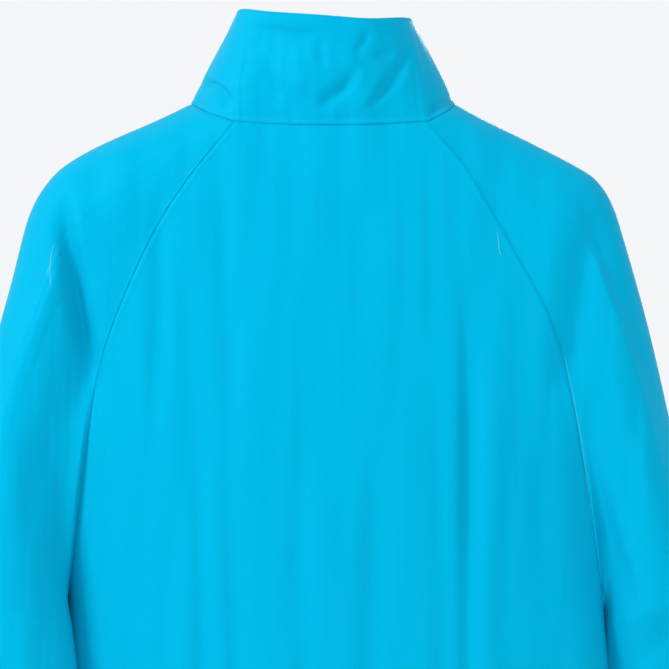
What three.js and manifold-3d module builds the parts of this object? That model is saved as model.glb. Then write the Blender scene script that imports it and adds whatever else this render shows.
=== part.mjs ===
// A windbreaker jacket with raglan sleeves and a tall standing collar, hung on a plain hanger.
// Millimetres, up is +Z. The front of the jacket faces -Y and its back faces +Y.
// The wearer's left is +X. The origin is the inside top of the hanger's hook.

import * as THREE from "three";
import Module from "manifold-3d";

// Driving sizes.
const CLOTH_WALL = 1.5;
const COLLAR_WALL = 2.2;
const BAND_WALL = 2.6;
const TAPE_WALL = 1.0;
const SEAM_GAP = 0.4;
const ZIP_EDGE = 8.3;
const ROUNDNESS = 2.2;
const UNDERARM = -456;
const HEM_SEAM = -702;
const HEM_END = -748;
const HEM_GATHERS = 8;
const CUFF_LENGTH = 48;

// How many steps each panel has.
const SEAM_STEPS = 12;
const SIDE_STEPS = 10;
const NECK_STEPS = 6;
const BACK_STEPS = 32;
const FRONT_STEPS = 16;
const SHOULDER_STEPS = 10;
const ARM_STEPS = 9;
const COLLAR_STEPS = 5;
const BAND_STEPS = 3;

// The body from the shoulders down to the hem seam: half widths to the wearer's left and right,
// and how far the back and the front stand off the middle.
const BODY = [
  { height: -55, left: 112, right: 106, back: 35, front: 38 },
  { height: -70, left: 137, right: 130, back: 38, front: 41 },
  { height: -90, left: 172, right: 166, back: 42, front: 46 },
  { height: -118, left: 214, right: 212, back: 45, front: 50 },
  { height: -150, left: 236, right: 234, back: 47, front: 53 },
  { height: -210, left: 243, right: 243, back: 49, front: 55 },
  { height: -290, left: 230, right: 238, back: 50, front: 55 },
  { height: -370, left: 214, right: 229, back: 50, front: 54 },
  { height: -456, left: 206, right: 225, back: 50, front: 53 },
  { height: -513, left: 209, right: 229, back: 51, front: 53 },
  { height: -580, left: 214, right: 231, back: 53, front: 55 },
  { height: -640, left: 217, right: 230, back: 56, front: 58 },
  { height: -680, left: 211, right: 220, back: 57, front: 59 },
  { height: -702, left: 192, right: 196, back: 49, front: 51 },
  { height: -748, left: 189, right: 192, back: 47, front: 49 },
];

// The raglan seams from the neck to the underarm, one table for each side of each face.
const SEAM_BACK_LEFT = [
  { x: 71, height: -73.6 },
  { x: 107, height: -117.6 },
  { x: 131, height: -153.6 },
  { x: 151, height: -193.6 },
  { x: 169.5, height: -237.6 },
  { x: 180.5, height: -273.6 },
  { x: 187, height: -310 },
  { x: 194, height: -360 },
  { x: 200.5, height: -415 },
  { x: 206, height: UNDERARM },
];
const SEAM_BACK_RIGHT = [
  { x: 83, height: -73.6 },
  { x: 113, height: -109.6 },
  { x: 137, height: -149.6 },
  { x: 157, height: -185.6 },
  { x: 177, height: -221.6 },
  { x: 189, height: -253.6 },
  { x: 198.5, height: -293.6 },
  { x: 206.5, height: -337.6 },
  { x: 215, height: -393.6 },
  { x: 221.5, height: -438 },
  { x: 225, height: UNDERARM },
];
const SEAM_FRONT_LEFT = [
  { x: 74, height: -82 },
  { x: 98, height: -118 },
  { x: 121, height: -160 },
  { x: 141, height: -205 },
  { x: 160, height: -255 },
  { x: 176, height: -310 },
  { x: 189, height: -365 },
  { x: 199, height: -418 },
  { x: 206, height: UNDERARM },
];
const SEAM_FRONT_RIGHT = [
  { x: 76, height: -82 },
  { x: 100, height: -118 },
  { x: 125, height: -160 },
  { x: 147, height: -205 },
  { x: 168, height: -255 },
  { x: 187, height: -310 },
  { x: 204, height: -365 },
  { x: 217, height: -418 },
  { x: 225, height: UNDERARM },
];

// The top line of each shoulder and sleeve as it is seen square from behind.
const OUTLINE_LEFT = [
  { x: 106.5, height: -58.5 },
  { x: 135, height: -72.5 },
  { x: 174, height: -90 },
  { x: 197, height: -102 },
  { x: 215, height: -115 },
  { x: 229, height: -133 },
  { x: 237, height: -150 },
  { x: 242, height: -167 },
  { x: 251, height: -204 },
  { x: 259, height: -234 },
  { x: 275, height: -295 },
  { x: 290, height: -352 },
  { x: 304, height: -405 },
  { x: 315, height: -449 },
];
const OUTLINE_RIGHT = [
  { x: 105, height: -58.5 },
  { x: 125, height: -70 },
  { x: 161, height: -88 },
  { x: 201, height: -109 },
  { x: 217, height: -119.5 },
  { x: 227, height: -132 },
  { x: 234, height: -147 },
  { x: 239, height: -163 },
  { x: 246, height: -187 },
  { x: 257, height: -227 },
  { x: 265, height: -259 },
  { x: 276, height: -307 },
  { x: 289, height: -362 },
  { x: 301, height: -412 },
  { x: 310, height: -452 },
];

// Sleeve sections from the underarm to the cuff seam: the ends of each section on the body side
// and on the outer side, the middle of its depth and its half depth.
const ARM_LEFT = [
  { inner: 208.5, innerHeight: -476, outer: 315, outerHeight: -449, middle: 11, deep: 42 },
  { inner: 207, innerHeight: -520, outer: 327, outerHeight: -497, middle: 23, deep: 42 },
  { inner: 213, innerHeight: -562, outer: 337, outerHeight: -542, middle: 20, deep: 42 },
  { inner: 225, innerHeight: -622, outer: 348, outerHeight: -600, middle: 13, deep: 41 },
  { inner: 238, innerHeight: -682, outer: 357, outerHeight: -658, middle: 5, deep: 39 },
  { inner: 251, innerHeight: -724, outer: 361, outerHeight: -700, middle: 0, deep: 36 },
  { inner: 268, innerHeight: -752, outer: 355, outerHeight: -733, middle: -3, deep: 22 },
];
const ARM_RIGHT = [
  { inner: 228, innerHeight: -476, outer: 310, outerHeight: -452, middle: -10, deep: 49 },
  { inner: 228.5, innerHeight: -520, outer: 321, outerHeight: -497, middle: -22, deep: 50 },
  { inner: 234, innerHeight: -562, outer: 331, outerHeight: -542, middle: -20, deep: 49 },
  { inner: 239, innerHeight: -622, outer: 342, outerHeight: -600, middle: -16, deep: 46 },
  { inner: 250, innerHeight: -682, outer: 351, outerHeight: -658, middle: -11, deep: 42 },
  { inner: 261, innerHeight: -724, outer: 356, outerHeight: -702, middle: -8, deep: 37 },
  { inner: 272, innerHeight: -752, outer: 352, outerHeight: -735, middle: -8, deep: 23 },
];

// The neck seam's highest stretch over each shoulder, between the two raglan seams.
const NECK_LEFT = [
  { x: 92, y: -24, height: -70 },
  { x: 106.5, y: 0, height: -58.5 },
  { x: 94, y: 23, height: -65.5 },
];
const NECK_RIGHT = [
  { x: 92, y: -24, height: -70 },
  { x: 105, y: 0, height: -58.5 },
  { x: 98, y: 21, height: -65 },
];
// How much the hanger rounds the shoulder up beside its top line, point by point.
const RIDGE = [0, 4.2, 3.4, 1.2];
const FRONT_NECK = -118;
const NECK_DIP = 3.4;

// The collar's top rim, by share of the way round from the zip past the wearer's left.
const RIM = [
  { share: 0.0, x: 8.4, y: -84, height: -33 },
  { share: 0.07, x: 34, y: -78, height: -29 },
  { share: 0.14, x: 54, y: -62, height: -20 },
  { share: 0.21, x: 66, y: -38, height: -4 },
  { share: 0.28, x: 70.5, y: -12, height: 11 },
  { share: 0.35, x: 66.5, y: 15, height: 17 },
  { share: 0.425, x: 43, y: 38, height: 14 },
  { share: 0.5, x: 4, y: 48, height: 11 },
  { share: 0.575, x: -34, y: 43, height: 8.4 },
  { share: 0.65, x: -65, y: 20, height: 10 },
  { share: 0.72, x: -71, y: -12, height: 8 },
  { share: 0.79, x: -66, y: -38, height: -6 },
  { share: 0.86, x: -54, y: -62, height: -20 },
  { share: 0.93, x: -34, y: -78, height: -29 },
  { share: 1.0, x: -8.4, y: -84, height: -33 },
];

// Folds that hang down the cloth: where each runs, its half width and how far it stands out.
// A trough has a depth below nothing.
const BACK_FOLDS = [
  { top: -215, bottom: -760, start: -114, middle: -113, end: -109, width: 11, depth: -6 },
  { top: -230, bottom: -760, start: -132, middle: -131, end: -126, width: 12, depth: 3.5 },
  { top: -320, bottom: -760, start: 102, middle: 97, end: 92, width: 12, depth: -5 },
  { top: -350, bottom: -560, start: 74, middle: 67, end: 56, width: 11, depth: -4 },
  { top: -360, bottom: -640, start: 16, middle: 15, end: 12, width: 11, depth: -3 },
  { top: -395, bottom: -760, start: -43, middle: -38, end: -36, width: 19, depth: -5 },
  { top: -400, bottom: -760, start: -91, middle: -93, end: -95, width: 9, depth: -2 },
  { top: -90, bottom: -270, start: 79, middle: 71, end: 58, width: 15, depth: -2 },
  { top: -138, bottom: -270, start: 21, middle: 20, end: 19, width: 14, depth: -1.6 },
  { top: -82, bottom: -300, start: -85, middle: -84, end: -82, width: 13, depth: -2 },
  { top: -165, bottom: -300, start: 131, middle: 133, end: 135, width: 13, depth: -3 },
  { top: -195, bottom: -330, start: 109, middle: 108, end: 106, width: 13, depth: -2.2 },
  { top: -480, bottom: -760, start: 150, middle: 152, end: 150, width: 18, depth: -5 },
  { top: -500, bottom: -760, start: -172, middle: -174, end: -170, width: 18, depth: -5 },
  { top: -136, bottom: -330, start: 206, middle: 192, end: 186, width: 13, depth: -12 },
  { top: -136, bottom: -300, start: -214, middle: -206, end: -195, width: 13, depth: -7 },
  { top: -315, bottom: -640, start: -214, middle: -231, end: -268, width: 13, depth: -7 },
  { top: -500, bottom: -700, start: 262, middle: 280, end: 300, width: 15, depth: -6 },
];
const FRONT_FOLDS = [
  { top: -150, bottom: -420, start: 112, middle: 104, end: 90, width: 15, depth: -4 },
  { top: -150, bottom: -430, start: -116, middle: -106, end: -94, width: 15, depth: -4 },
  { top: -380, bottom: -760, start: 70, middle: 66, end: 62, width: 16, depth: -5 },
  { top: -400, bottom: -760, start: -72, middle: -69, end: -64, width: 16, depth: -5 },
  { top: -460, bottom: -760, start: 128, middle: 130, end: 126, width: 18, depth: -6 },
  { top: -440, bottom: -760, start: -140, middle: -142, end: -138, width: 18, depth: -6 },
  { top: -136, bottom: -330, start: 210, middle: 200, end: 190, width: 14, depth: -7 },
  { top: -136, bottom: -330, start: -212, middle: -206, end: -198, width: 14, depth: -8 },
  { top: -470, bottom: -700, start: 250, middle: 272, end: 300, width: 14, depth: -6 },
  { top: -470, bottom: -700, start: -250, middle: -272, end: -300, width: 14, depth: -6 },
];

// The hanger: half width of its arms and the size of its section from the middle to the ends.
const HANGER_TIP = 206;
const HANGER_ARM = [
  { x: 0, top: -50, deep: 7, tall: 8 },
  { x: 45, top: -53.5, deep: 7, tall: 8 },
  { x: 85, top: -62, deep: 8, tall: 8 },
  { x: 118, top: -73, deep: 10, tall: 10 },
];
const HANGER_DEEP = 8.5;
const HANGER_TALL = 15;
const HANGER_GAP = 1.5;
const HANGER_SHIFT = { left: 0.8, right: 2.6 };
const HOOK_INSIDE = 17;
const HOOK_WIRE = 2.6;

// The zip's slider and pull tab at the top of the collar.
const SLIDER_WIDTH = 9;
const SLIDER_LENGTH = 12;
const SLIDER_BACK = 0.4;
const SLIDER_FRONT = 3.2;
const SLIDER_DROP = 12;
const PULL_LENGTH = 30;
const PULL_WIDTH = 6;
const PULL_THICK = 1.6;
const LUG_RADIUS = 1.1;
const LUG_HOLE = 1.6;

const CYAN = 0x02bce6;
const CYAN_DEEP = 0x05a8dc;
const NICKEL = 0xb9bdc0;
const HANGER_GREY = 0xdfe1e2;

const vec = (x, y, z) => new THREE.Vector3(x, y, z);
const mix = (a, b, t) => a + (b - a) * t;

function ease(low, high, value) {
  const t = Math.min(1, Math.max(0, (value - low) / (high - low)));
  return t * t * (3 - 2 * t);
}

// One column of a table at a key, on a smooth curve through the rows.
function read(rows, key, column, at) {
  const up = rows[rows.length - 1][key] > rows[0][key];
  const list = up ? rows : [...rows].reverse();
  const clear = Math.min(list[list.length - 1][key], Math.max(list[0][key], at));
  let i = 0;
  while (i < list.length - 2 && clear > list[i + 1][key]) i += 1;
  const slope = (j) => {
    const a = list[Math.max(0, j - 1)];
    const b = list[Math.min(list.length - 1, j + 1)];
    return (b[column] - a[column]) / (b[key] - a[key]);
  };
  const a = list[i];
  const b = list[i + 1];
  const step = b[key] - a[key];
  const t = (clear - a[key]) / step;
  const flat = 1 - t;
  return (
    a[column] * (1 + 2 * t) * flat * flat +
    b[column] * (3 - 2 * t) * t * t +
    step * t * flat * (slope(i) * flat - slope(i + 1) * t)
  );
}

// A table of points with the share of the way along them added to each row.
function measured(rows) {
  const gone = [0];
  for (let i = 1; i < rows.length; i += 1) {
    const a = rows[i - 1];
    const b = rows[i];
    const side = Math.hypot(b.x - a.x, b.height - a.height, (b.y ?? 0) - (a.y ?? 0));
    gone.push(gone[i - 1] + side);
  }
  return rows.map((row, i) => ({ ...row, share: gone[i] / gone[gone.length - 1] }));
}

// A point of the body: share is its place across, from -1 at the right side to 1 at the left.
function bodyPoint(share, height, face) {
  const wide = read(BODY, "height", share > 0 ? "left" : "right", height);
  const deep = read(BODY, "height", face, height);
  const left = Math.max(0, 1 - Math.abs(share) ** ROUNDNESS);
  const sign = face === "back" ? 1 : -1;
  return vec(share * wide, sign * deep * left ** (1 / ROUNDNESS), height);
}

function bodyShare(x, height) {
  const wide = read(BODY, "height", x > 0 ? "left" : "right", height);
  return Math.max(-1, Math.min(1, x / wide));
}

// How far the folds of one face move the cloth out at a point.
function foldAt(folds, x, height) {
  let moved = 0;
  for (const fold of folds) {
    if (height > fold.top || height < fold.bottom) continue;
    const t = (fold.top - height) / (fold.top - fold.bottom);
    const flat = 1 - t;
    const middle = 2 * fold.middle - (fold.start + fold.end) / 2;
    const line = flat * flat * fold.start + 2 * t * flat * middle + t * t * fold.end;
    const off = (x - line) / fold.width;
    const ends = ease(0, 0.3, t) * (fold.bottom < HEM_END ? 1 : ease(0, 0.3, flat));
    moved += fold.depth * ends * Math.exp(-off * off);
  }
  return moved;
}

// The seam's places from the neck to the underarm, closer together near the underarm.
function seamPlaces(rows) {
  const line = measured(rows);
  const places = [];
  for (let i = 0; i <= SEAM_STEPS; i += 1) {
    const along = 1 - (1 - i / SEAM_STEPS) ** 1.25;
    places.push({
      x: read(line, "share", "x", along),
      height: read(line, "share", "height", along),
    });
  }
  return places;
}

const SEAMS = {
  backLeft: seamPlaces(SEAM_BACK_LEFT),
  backRight: seamPlaces(SEAM_BACK_RIGHT),
  frontLeft: seamPlaces(SEAM_FRONT_LEFT),
  frontRight: seamPlaces(SEAM_FRONT_RIGHT),
};

function sideHeight(i) {
  const t = i / SIDE_STEPS;
  return mix(UNDERARM, HEM_SEAM, t);
}

// How far the gathers above the hem band move the cloth out.
function hemGather(turn, height) {
  const near = ease(HEM_SEAM + 90, HEM_SEAM, height);
  return 2.6 * near * Math.cos(2 * Math.PI * turn);
}

// The back panel runs from the wearer's right to the left, row by row from the neck to the hem.
function backGrid() {
  const grid = [];
  for (let i = 0; i <= SEAM_STEPS + SIDE_STEPS; i += 1) {
    const low = i > SEAM_STEPS;
    const left = low ? null : SEAMS.backLeft[i];
    const right = low ? null : SEAMS.backRight[i];
    const middle = low
      ? sideHeight(i - SEAM_STEPS)
      : mix(left.height, right.height, 0.5) - NECK_DIP * (1 - ease(0, 5, i));
    const row = [];
    for (let j = 0; j <= BACK_STEPS; j += 1) {
      const u = (2 * j) / BACK_STEPS - 1;
      const edge = u > 0 ? left : right;
      const height = low ? middle : mix(middle, edge.height, u * u);
      const sign = Math.sign(u) || 1;
      const far = low ? 1 : Math.abs(bodyShare(sign * edge.x, edge.height));
      const share = Math.sin(Math.abs(u) * Math.asin(far)) * sign;
      const p = bodyPoint(share, height, "back");
      p.y += hemGather((HEM_GATHERS * j) / BACK_STEPS, height);
      row.push(p);
    }
    grid.push(row);
  }
  return grid;
}

// A front panel. The left one runs from its side to the zip, the right one from the zip.
function frontGrid(sign) {
  const seam = sign > 0 ? SEAMS.frontLeft : SEAMS.frontRight;
  const top = seam[0].height;
  const grid = [];
  for (let i = 0; i <= SEAM_STEPS + SIDE_STEPS; i += 1) {
    const low = i > SEAM_STEPS;
    const edgeHeight = low ? sideHeight(i - SEAM_STEPS) : seam[i].height;
    const fall = low ? 1 : (edgeHeight - top) / (UNDERARM - top);
    const zipHeight = low ? edgeHeight : mix(FRONT_NECK, UNDERARM, fall);
    const far = low ? 1 : Math.abs(bodyShare(sign * seam[i].x, edgeHeight));
    const near = Math.abs(bodyShare(sign * ZIP_EDGE, zipHeight));
    const row = [];
    for (let j = 0; j <= FRONT_STEPS; j += 1) {
      const u = j / FRONT_STEPS;
      const share = Math.sin(mix(Math.asin(near), Math.asin(far), u));
      const rise = Math.max(0, (share - near) / (far - near)) ** 1.6;
      const height = mix(zipHeight, edgeHeight, rise);
      const p = bodyPoint(sign * share, height, "front");
      if (j === 0) p.x = sign * ZIP_EDGE;
      p.y -= hemGather(0.5 + (HEM_GATHERS * j) / BACK_STEPS, height) * ease(0, 0.2, u);
      row.push(p);
    }
    grid.push(sign > 0 ? row.reverse() : row);
  }
  return grid;
}

// The closed edge of a sleeve: from the underarm up one raglan seam, over the shoulder's share
// of the neck seam and down the other raglan seam.
function armhole(sign) {
  const backSeam = sign > 0 ? SEAMS.backLeft : SEAMS.backRight;
  const frontSeam = sign > 0 ? SEAMS.frontLeft : SEAMS.frontRight;
  const neck = sign > 0 ? NECK_LEFT : NECK_RIGHT;
  const onBody = (place, face) =>
    bodyPoint(sign * Math.abs(bodyShare(sign * place.x, place.height)), place.height, face);
  const back = backSeam.map((place) => onBody(place, "back"));
  const front = frontSeam.map((place) => onBody(place, "front"));
  const over = new THREE.CatmullRomCurve3([
    back[0],
    ...[...neck].reverse().map((place) => vec(sign * place.x, place.y, place.height)),
    front[0],
  ]);
  const loop = [];
  for (let i = SEAM_STEPS; i > 0; i -= 1) loop.push({ point: back[i], fall: i / SEAM_STEPS });
  for (let i = 0; i < NECK_STEPS; i += 1) {
    loop.push({ point: over.getPoint(i / NECK_STEPS), fall: 0 });
  }
  for (let i = 0; i < SEAM_STEPS; i += 1) loop.push({ point: front[i], fall: i / SEAM_STEPS });
  return loop;
}

const AROUND = 2 * SEAM_STEPS + NECK_STEPS;

// A point of a sleeve section. The turn runs from the body side past the back and the outside.
function armPoint(sign, section, turn) {
  const a = 2 * Math.PI * turn;
  const along = (1 - Math.cos(a)) / 2;
  return vec(
    sign * mix(section.inner, section.outer, along),
    section.middle + section.deep * Math.sin(a),
    mix(section.innerHeight, section.outerHeight, along),
  );
}

function armSection(sign, at) {
  const rows = (sign > 0 ? ARM_LEFT : ARM_RIGHT).map((row, i, all) => ({
    ...row,
    at: i / (all.length - 1),
  }));
  const section = {};
  for (const column of ["inner", "innerHeight", "outer", "outerHeight", "middle", "deep"]) {
    section[column] = read(rows, "at", column, at);
  }
  return section;
}

// The direction in which the cloth leaves the sleeve's edge.
function leaving(sign, edge) {
  const slant = THREE.MathUtils.degToRad(mix(26.6, 78, edge.fall ** 0.8));
  const x = Math.cos(slant);
  const height = -Math.sin(slant);
  if (edge.fall === 0) return vec(sign * x, 0, height);
  const face = edge.point.y > 0 ? "back" : "front";
  const near = Math.abs(bodyShare(edge.point.x, edge.point.z));
  const next = Math.abs(bodyShare(edge.point.x + sign * x, edge.point.z + height));
  const a = bodyPoint(sign * Math.min(near, 0.97), edge.point.z, face);
  const b = bodyPoint(sign * Math.min(next, 0.975), edge.point.z + height, face);
  const steep = Math.max(-0.9, Math.min(0.9, b.y - a.y)) * (1 - edge.fall);
  return vec(sign * x, steep, height).normalize();
}

// A raglan sleeve from its armhole to the cuff seam.
function sleeveGrid(sign) {
  const loop = armhole(sign);
  const first = armSection(sign, 0);
  const second = armSection(sign, 0.04);
  const outline = measured(sign > 0 ? OUTLINE_LEFT : OUTLINE_RIGHT);
  const topIndex = SEAM_STEPS + NECK_STEPS / 2;
  const grid = [];
  for (let k = 0; k <= SHOULDER_STEPS; k += 1) {
    const t = k / SHOULDER_STEPS;
    const flat = 1 - t;
    grid.push(
      loop.map((edge, i) => {
        const end = armPoint(sign, first, i / AROUND);
        const beyond = armPoint(sign, second, i / AROUND).sub(end).setY(0).normalize();
        const start = leaving(sign, edge);
        const reach = end.distanceTo(edge.point) * mix(1.0, 1.25, (1 - edge.fall) ** 2);
        return edge.point
          .clone()
          .multiplyScalar((1 + 2 * t) * flat * flat)
          .addScaledVector(end, (3 - 2 * t) * t * t)
          .addScaledVector(start, reach * t * flat * flat)
          .addScaledVector(beyond, -reach * t * t * flat);
      }),
    );
  }
  const lengths = [0];
  for (let k = 1; k <= SHOULDER_STEPS; k += 1) {
    lengths.push(lengths[k - 1] + grid[k][topIndex].distanceTo(grid[k - 1][topIndex]));
  }
  for (let k = 1; k < SHOULDER_STEPS; k += 1) {
    const share = lengths[k] / lengths[SHOULDER_STEPS];
    const x = sign * read(outline, "share", "x", share) - grid[k][topIndex].x;
    const z = read(outline, "share", "height", share) - grid[k][topIndex].z;
    const bow = Math.sin((Math.PI * k) / SHOULDER_STEPS) ** 0.6;
    grid[k].forEach((p, i) => {
      const near = ((1 - Math.cos((2 * Math.PI * i) / AROUND)) / 2) ** 1.5;
      p.x += x * near + sign * 0.45 * bow * (RIDGE[Math.abs(i - topIndex)] ?? 0);
      p.z += z * near + bow * (RIDGE[Math.abs(i - topIndex)] ?? 0);
    });
  }
  for (let k = 1; k <= ARM_STEPS; k += 1) {
    const at = k / ARM_STEPS;
    const section = armSection(sign, at);
    const near = ease(0.62, 1, at);
    grid.push(
      loop.map((edge, i) => {
        const p = armPoint(sign, section, i / AROUND);
        const out = p.clone().sub(vec(
          sign * mix(section.inner, section.outer, 0.5),
          section.middle,
          mix(section.innerHeight, section.outerHeight, 0.5),
        )).normalize();
        return p.addScaledVector(out, 1.7 * near * Math.cos((2 * Math.PI * 7 * i) / AROUND));
      }),
    );
  }
  return sign > 0 ? grid : grid.map((row) => [row[0], ...row.slice(1).reverse()]);
}

// An elastic cuff that carries on from the end of its sleeve.
function cuffGrid(sleeve) {
  const last = sleeve[sleeve.length - 1];
  const centre = last.reduce((sum, p) => sum.add(p), vec(0, 0, 0)).divideScalar(last.length);
  const sign = Math.sign(centre.x);
  const down = vec(sign * 0.17, 0, -0.985).normalize();
  const grid = [];
  for (let k = 0; k <= BAND_STEPS; k += 1) {
    const t = k / BAND_STEPS;
    grid.push(
      last.map((p) => {
        const out = p.clone().sub(centre);
        return p
          .clone()
          .addScaledVector(out, -0.06 * Math.sin(Math.PI * Math.min(1, t * 1.2)))
          .addScaledVector(down, CUFF_LENGTH * t);
      }),
    );
  }
  return grid;
}

// The collar from the neck seam to its rim, round from the zip past the wearer's left.
function collarGrid(base) {
  const share = measured(base.map((p) => ({ x: p.x, y: p.y, height: p.z })));
  const grid = [];
  for (let k = 0; k <= COLLAR_STEPS; k += 1) {
    const t = k / COLLAR_STEPS;
    grid.push(
      base.map((p, i) => {
        const at = share[i].share;
        const rim = vec(
          read(RIM, "share", "x", at),
          read(RIM, "share", "y", at),
          read(RIM, "share", "height", at),
        );
        const out = vec(rim.x, rim.y + 15, 0).normalize();
        const full = 2.2 * Math.sin(Math.PI * t) * ease(0, 0.06, Math.min(at, 1 - at));
        return p.clone().lerp(rim, t).addScaledVector(out, full);
      }),
    );
  }
  return grid;
}

// The hem band from its lower edge up to the hem seam, round from the zip past the left.
function hemGrid(seamRow) {
  const grid = [];
  for (let k = 0; k <= BAND_STEPS; k += 1) {
    const t = k / BAND_STEPS;
    grid.push(
      seamRow.map((p) => {
        const face = p.y > 0 ? "back" : "front";
        const wide = read(BODY, "height", p.x > 0 ? "left" : "right", HEM_END) /
          read(BODY, "height", p.x > 0 ? "left" : "right", HEM_SEAM);
        const deep = read(BODY, "height", face, HEM_END) / read(BODY, "height", face, HEM_SEAM);
        const at = Math.abs(p.x) < ZIP_EDGE + 0.01 ? 1 : wide;
        const full = 1 + 0.02 * Math.sin(Math.PI * t);
        return vec(
          p.x * mix(at, 1, t) * (at === 1 ? 1 : full),
          p.y * mix(deep, 1, t) * full,
          mix(HEM_END, HEM_SEAM, t),
        );
      }),
    );
  }
  return grid;
}

// A panel keeps its grid of outside points, its normals and whether its rows close on themselves.
class Panel {
  constructor(name, grid, wall, closed, colour, gap = SEAM_GAP / 2) {
    this.name = name;
    this.gap = gap;
    this.grid = grid;
    this.wall = wall;
    this.closed = closed;
    this.colour = colour;
    this.normals = grid.map((row, i) => row.map((p, j) => this.normal(i, j)));
  }

  normal(i, j) {
    const last = this.grid.length - 1;
    const width = this.grid[0].length;
    const at = (r, c) => {
      const column = this.closed ? (c + width) % width : Math.min(width - 1, Math.max(0, c));
      return this.grid[Math.min(last, Math.max(0, r))][column];
    };
    const across = at(i, j + 1).clone().sub(at(i, j - 1));
    const down = at(i + 1, j).clone().sub(at(i - 1, j));
    return across.cross(down).normalize();
  }

  fold() {
    this.grid.forEach((row, i) =>
      row.forEach((p, j) => {
        const n = this.normals[i][j];
        const folds = n.y > 0 ? BACK_FOLDS : FRONT_FOLDS;
        const full = Math.min(1, 1.3 * Math.abs(n.y));
        p.addScaledVector(n, full * foldAt(folds, p.x, p.z));
      }),
    );
  }

  // Pulls the free edges back so that neighbours keep the seam gap between them.
  pulledIn(points) {
    const last = points.length - 1;
    const width = points[0].length;
    const towards = (p, q) => q.clone().sub(p).setLength(this.gap);
    return points.map((row, i) =>
      row.map((p, j) => {
        const moved = p.clone();
        if (i === 0) moved.add(towards(p, points[1][j]));
        if (i === last) moved.add(towards(p, points[last - 1][j]));
        if (!this.closed && j === 0) moved.add(towards(p, row[1]));
        if (!this.closed && j === width - 1) moved.add(towards(p, row[width - 2]));
        return moved;
      }),
    );
  }

  mesh() {
    const inside = this.grid.map((row, i) =>
      row.map((p, j) => p.clone().addScaledVector(this.normals[i][j], -this.wall)),
    );
    return shell(this.name, this.pulledIn(this.grid), this.pulledIn(inside), this.closed,
      this.colour);
  }
}

function surface(colour, roughness, metalness) {
  return new THREE.MeshStandardMaterial({ color: colour, roughness, metalness });
}

// A closed solid between an outer and an inner grid of points.
function shell(name, outer, inner, closed, colour) {
  const rows = outer.length;
  const width = outer[0].length;
  const positions = [];
  for (const layer of [outer, inner]) {
    for (const row of layer) for (const p of row) positions.push(p.x, p.y, p.z);
  }
  const index = [];
  const top = (i, j) => i * width + (j % width);
  const low = (i, j) => rows * width + top(i, j);
  const quad = (a, b, c, d) => index.push(a, b, c, a, c, d);
  const columns = closed ? width : width - 1;
  for (let i = 0; i < rows - 1; i += 1) {
    for (let j = 0; j < columns; j += 1) {
      quad(top(i, j), top(i, j + 1), top(i + 1, j + 1), top(i + 1, j));
      quad(low(i, j), low(i + 1, j), low(i + 1, j + 1), low(i, j + 1));
    }
    if (!closed) {
      quad(top(i, 0), top(i + 1, 0), low(i + 1, 0), low(i, 0));
      quad(top(i + 1, columns), top(i, columns), low(i, columns), low(i + 1, columns));
    }
  }
  for (let j = 0; j < columns; j += 1) {
    quad(top(0, j + 1), top(0, j), low(0, j), low(0, j + 1));
    quad(top(rows - 1, j), top(rows - 1, j + 1), low(rows - 1, j + 1), low(rows - 1, j));
  }
  const geometry = new THREE.BufferGeometry();
  geometry.setAttribute("position", new THREE.Float32BufferAttribute(positions, 3));
  geometry.setIndex(index);
  geometry.computeVertexNormals();
  const mesh = new THREE.Mesh(geometry, surface(colour, 0.45, 0));
  mesh.name = name;
  return mesh;
}

// Gives two panels that meet along a seam the same normals there, except in a sharp valley.
function joinSeam(first, second) {
  first.forEach((a, k) => {
    const b = second[k];
    const own = a.panel.normals[a.i][a.j];
    const other = b.panel.normals[b.i][b.j];
    if (own.dot(other) < 0.5) return;
    const sum = own.clone().add(other).normalize();
    a.panel.normals[a.i][a.j] = sum;
    b.panel.normals[b.i][b.j] = sum.clone();
  });
}

function places(panel, count, where) {
  return Array.from({ length: count }, (unused, k) => ({ panel, ...where(k) }));
}

const back = new Panel("back", backGrid(), CLOTH_WALL, false, CYAN);
const frontLeft = new Panel("front_left", frontGrid(1), CLOTH_WALL, false, CYAN);
const frontRight = new Panel("front_right", frontGrid(-1), CLOTH_WALL, false, CYAN);
const sleeveLeft = new Panel("sleeve_left", sleeveGrid(1), CLOTH_WALL, true, CYAN);
const sleeveRight = new Panel("sleeve_right", sleeveGrid(-1), CLOTH_WALL, true, CYAN);

const seamRows = SEAM_STEPS + 1;
const sideRows = SIDE_STEPS + 1;
const pastNeck = SEAM_STEPS + NECK_STEPS;
joinSeam(
  places(back, seamRows, (k) => ({ i: k, j: BACK_STEPS })),
  places(sleeveLeft, seamRows, (k) => ({ i: 0, j: SEAM_STEPS - k })),
);
joinSeam(
  places(frontLeft, seamRows, (k) => ({ i: k, j: 0 })),
  places(sleeveLeft, seamRows, (k) => ({ i: 0, j: (pastNeck + k) % AROUND })),
);
joinSeam(
  places(back, seamRows, (k) => ({ i: k, j: 0 })),
  places(sleeveRight, seamRows, (k) => ({ i: 0, j: (pastNeck + k) % AROUND })),
);
joinSeam(
  places(frontRight, seamRows, (k) => ({ i: k, j: FRONT_STEPS })),
  places(sleeveRight, seamRows, (k) => ({ i: 0, j: SEAM_STEPS - k })),
);
joinSeam(
  places(back, sideRows, (k) => ({ i: SEAM_STEPS + k, j: BACK_STEPS })),
  places(frontLeft, sideRows, (k) => ({ i: SEAM_STEPS + k, j: 0 })),
);
joinSeam(
  places(back, sideRows, (k) => ({ i: SEAM_STEPS + k, j: 0 })),
  places(frontRight, sideRows, (k) => ({ i: SEAM_STEPS + k, j: FRONT_STEPS })),
);
for (const panel of [back, frontLeft, frontRight, sleeveLeft, sleeveRight]) panel.fold();

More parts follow.
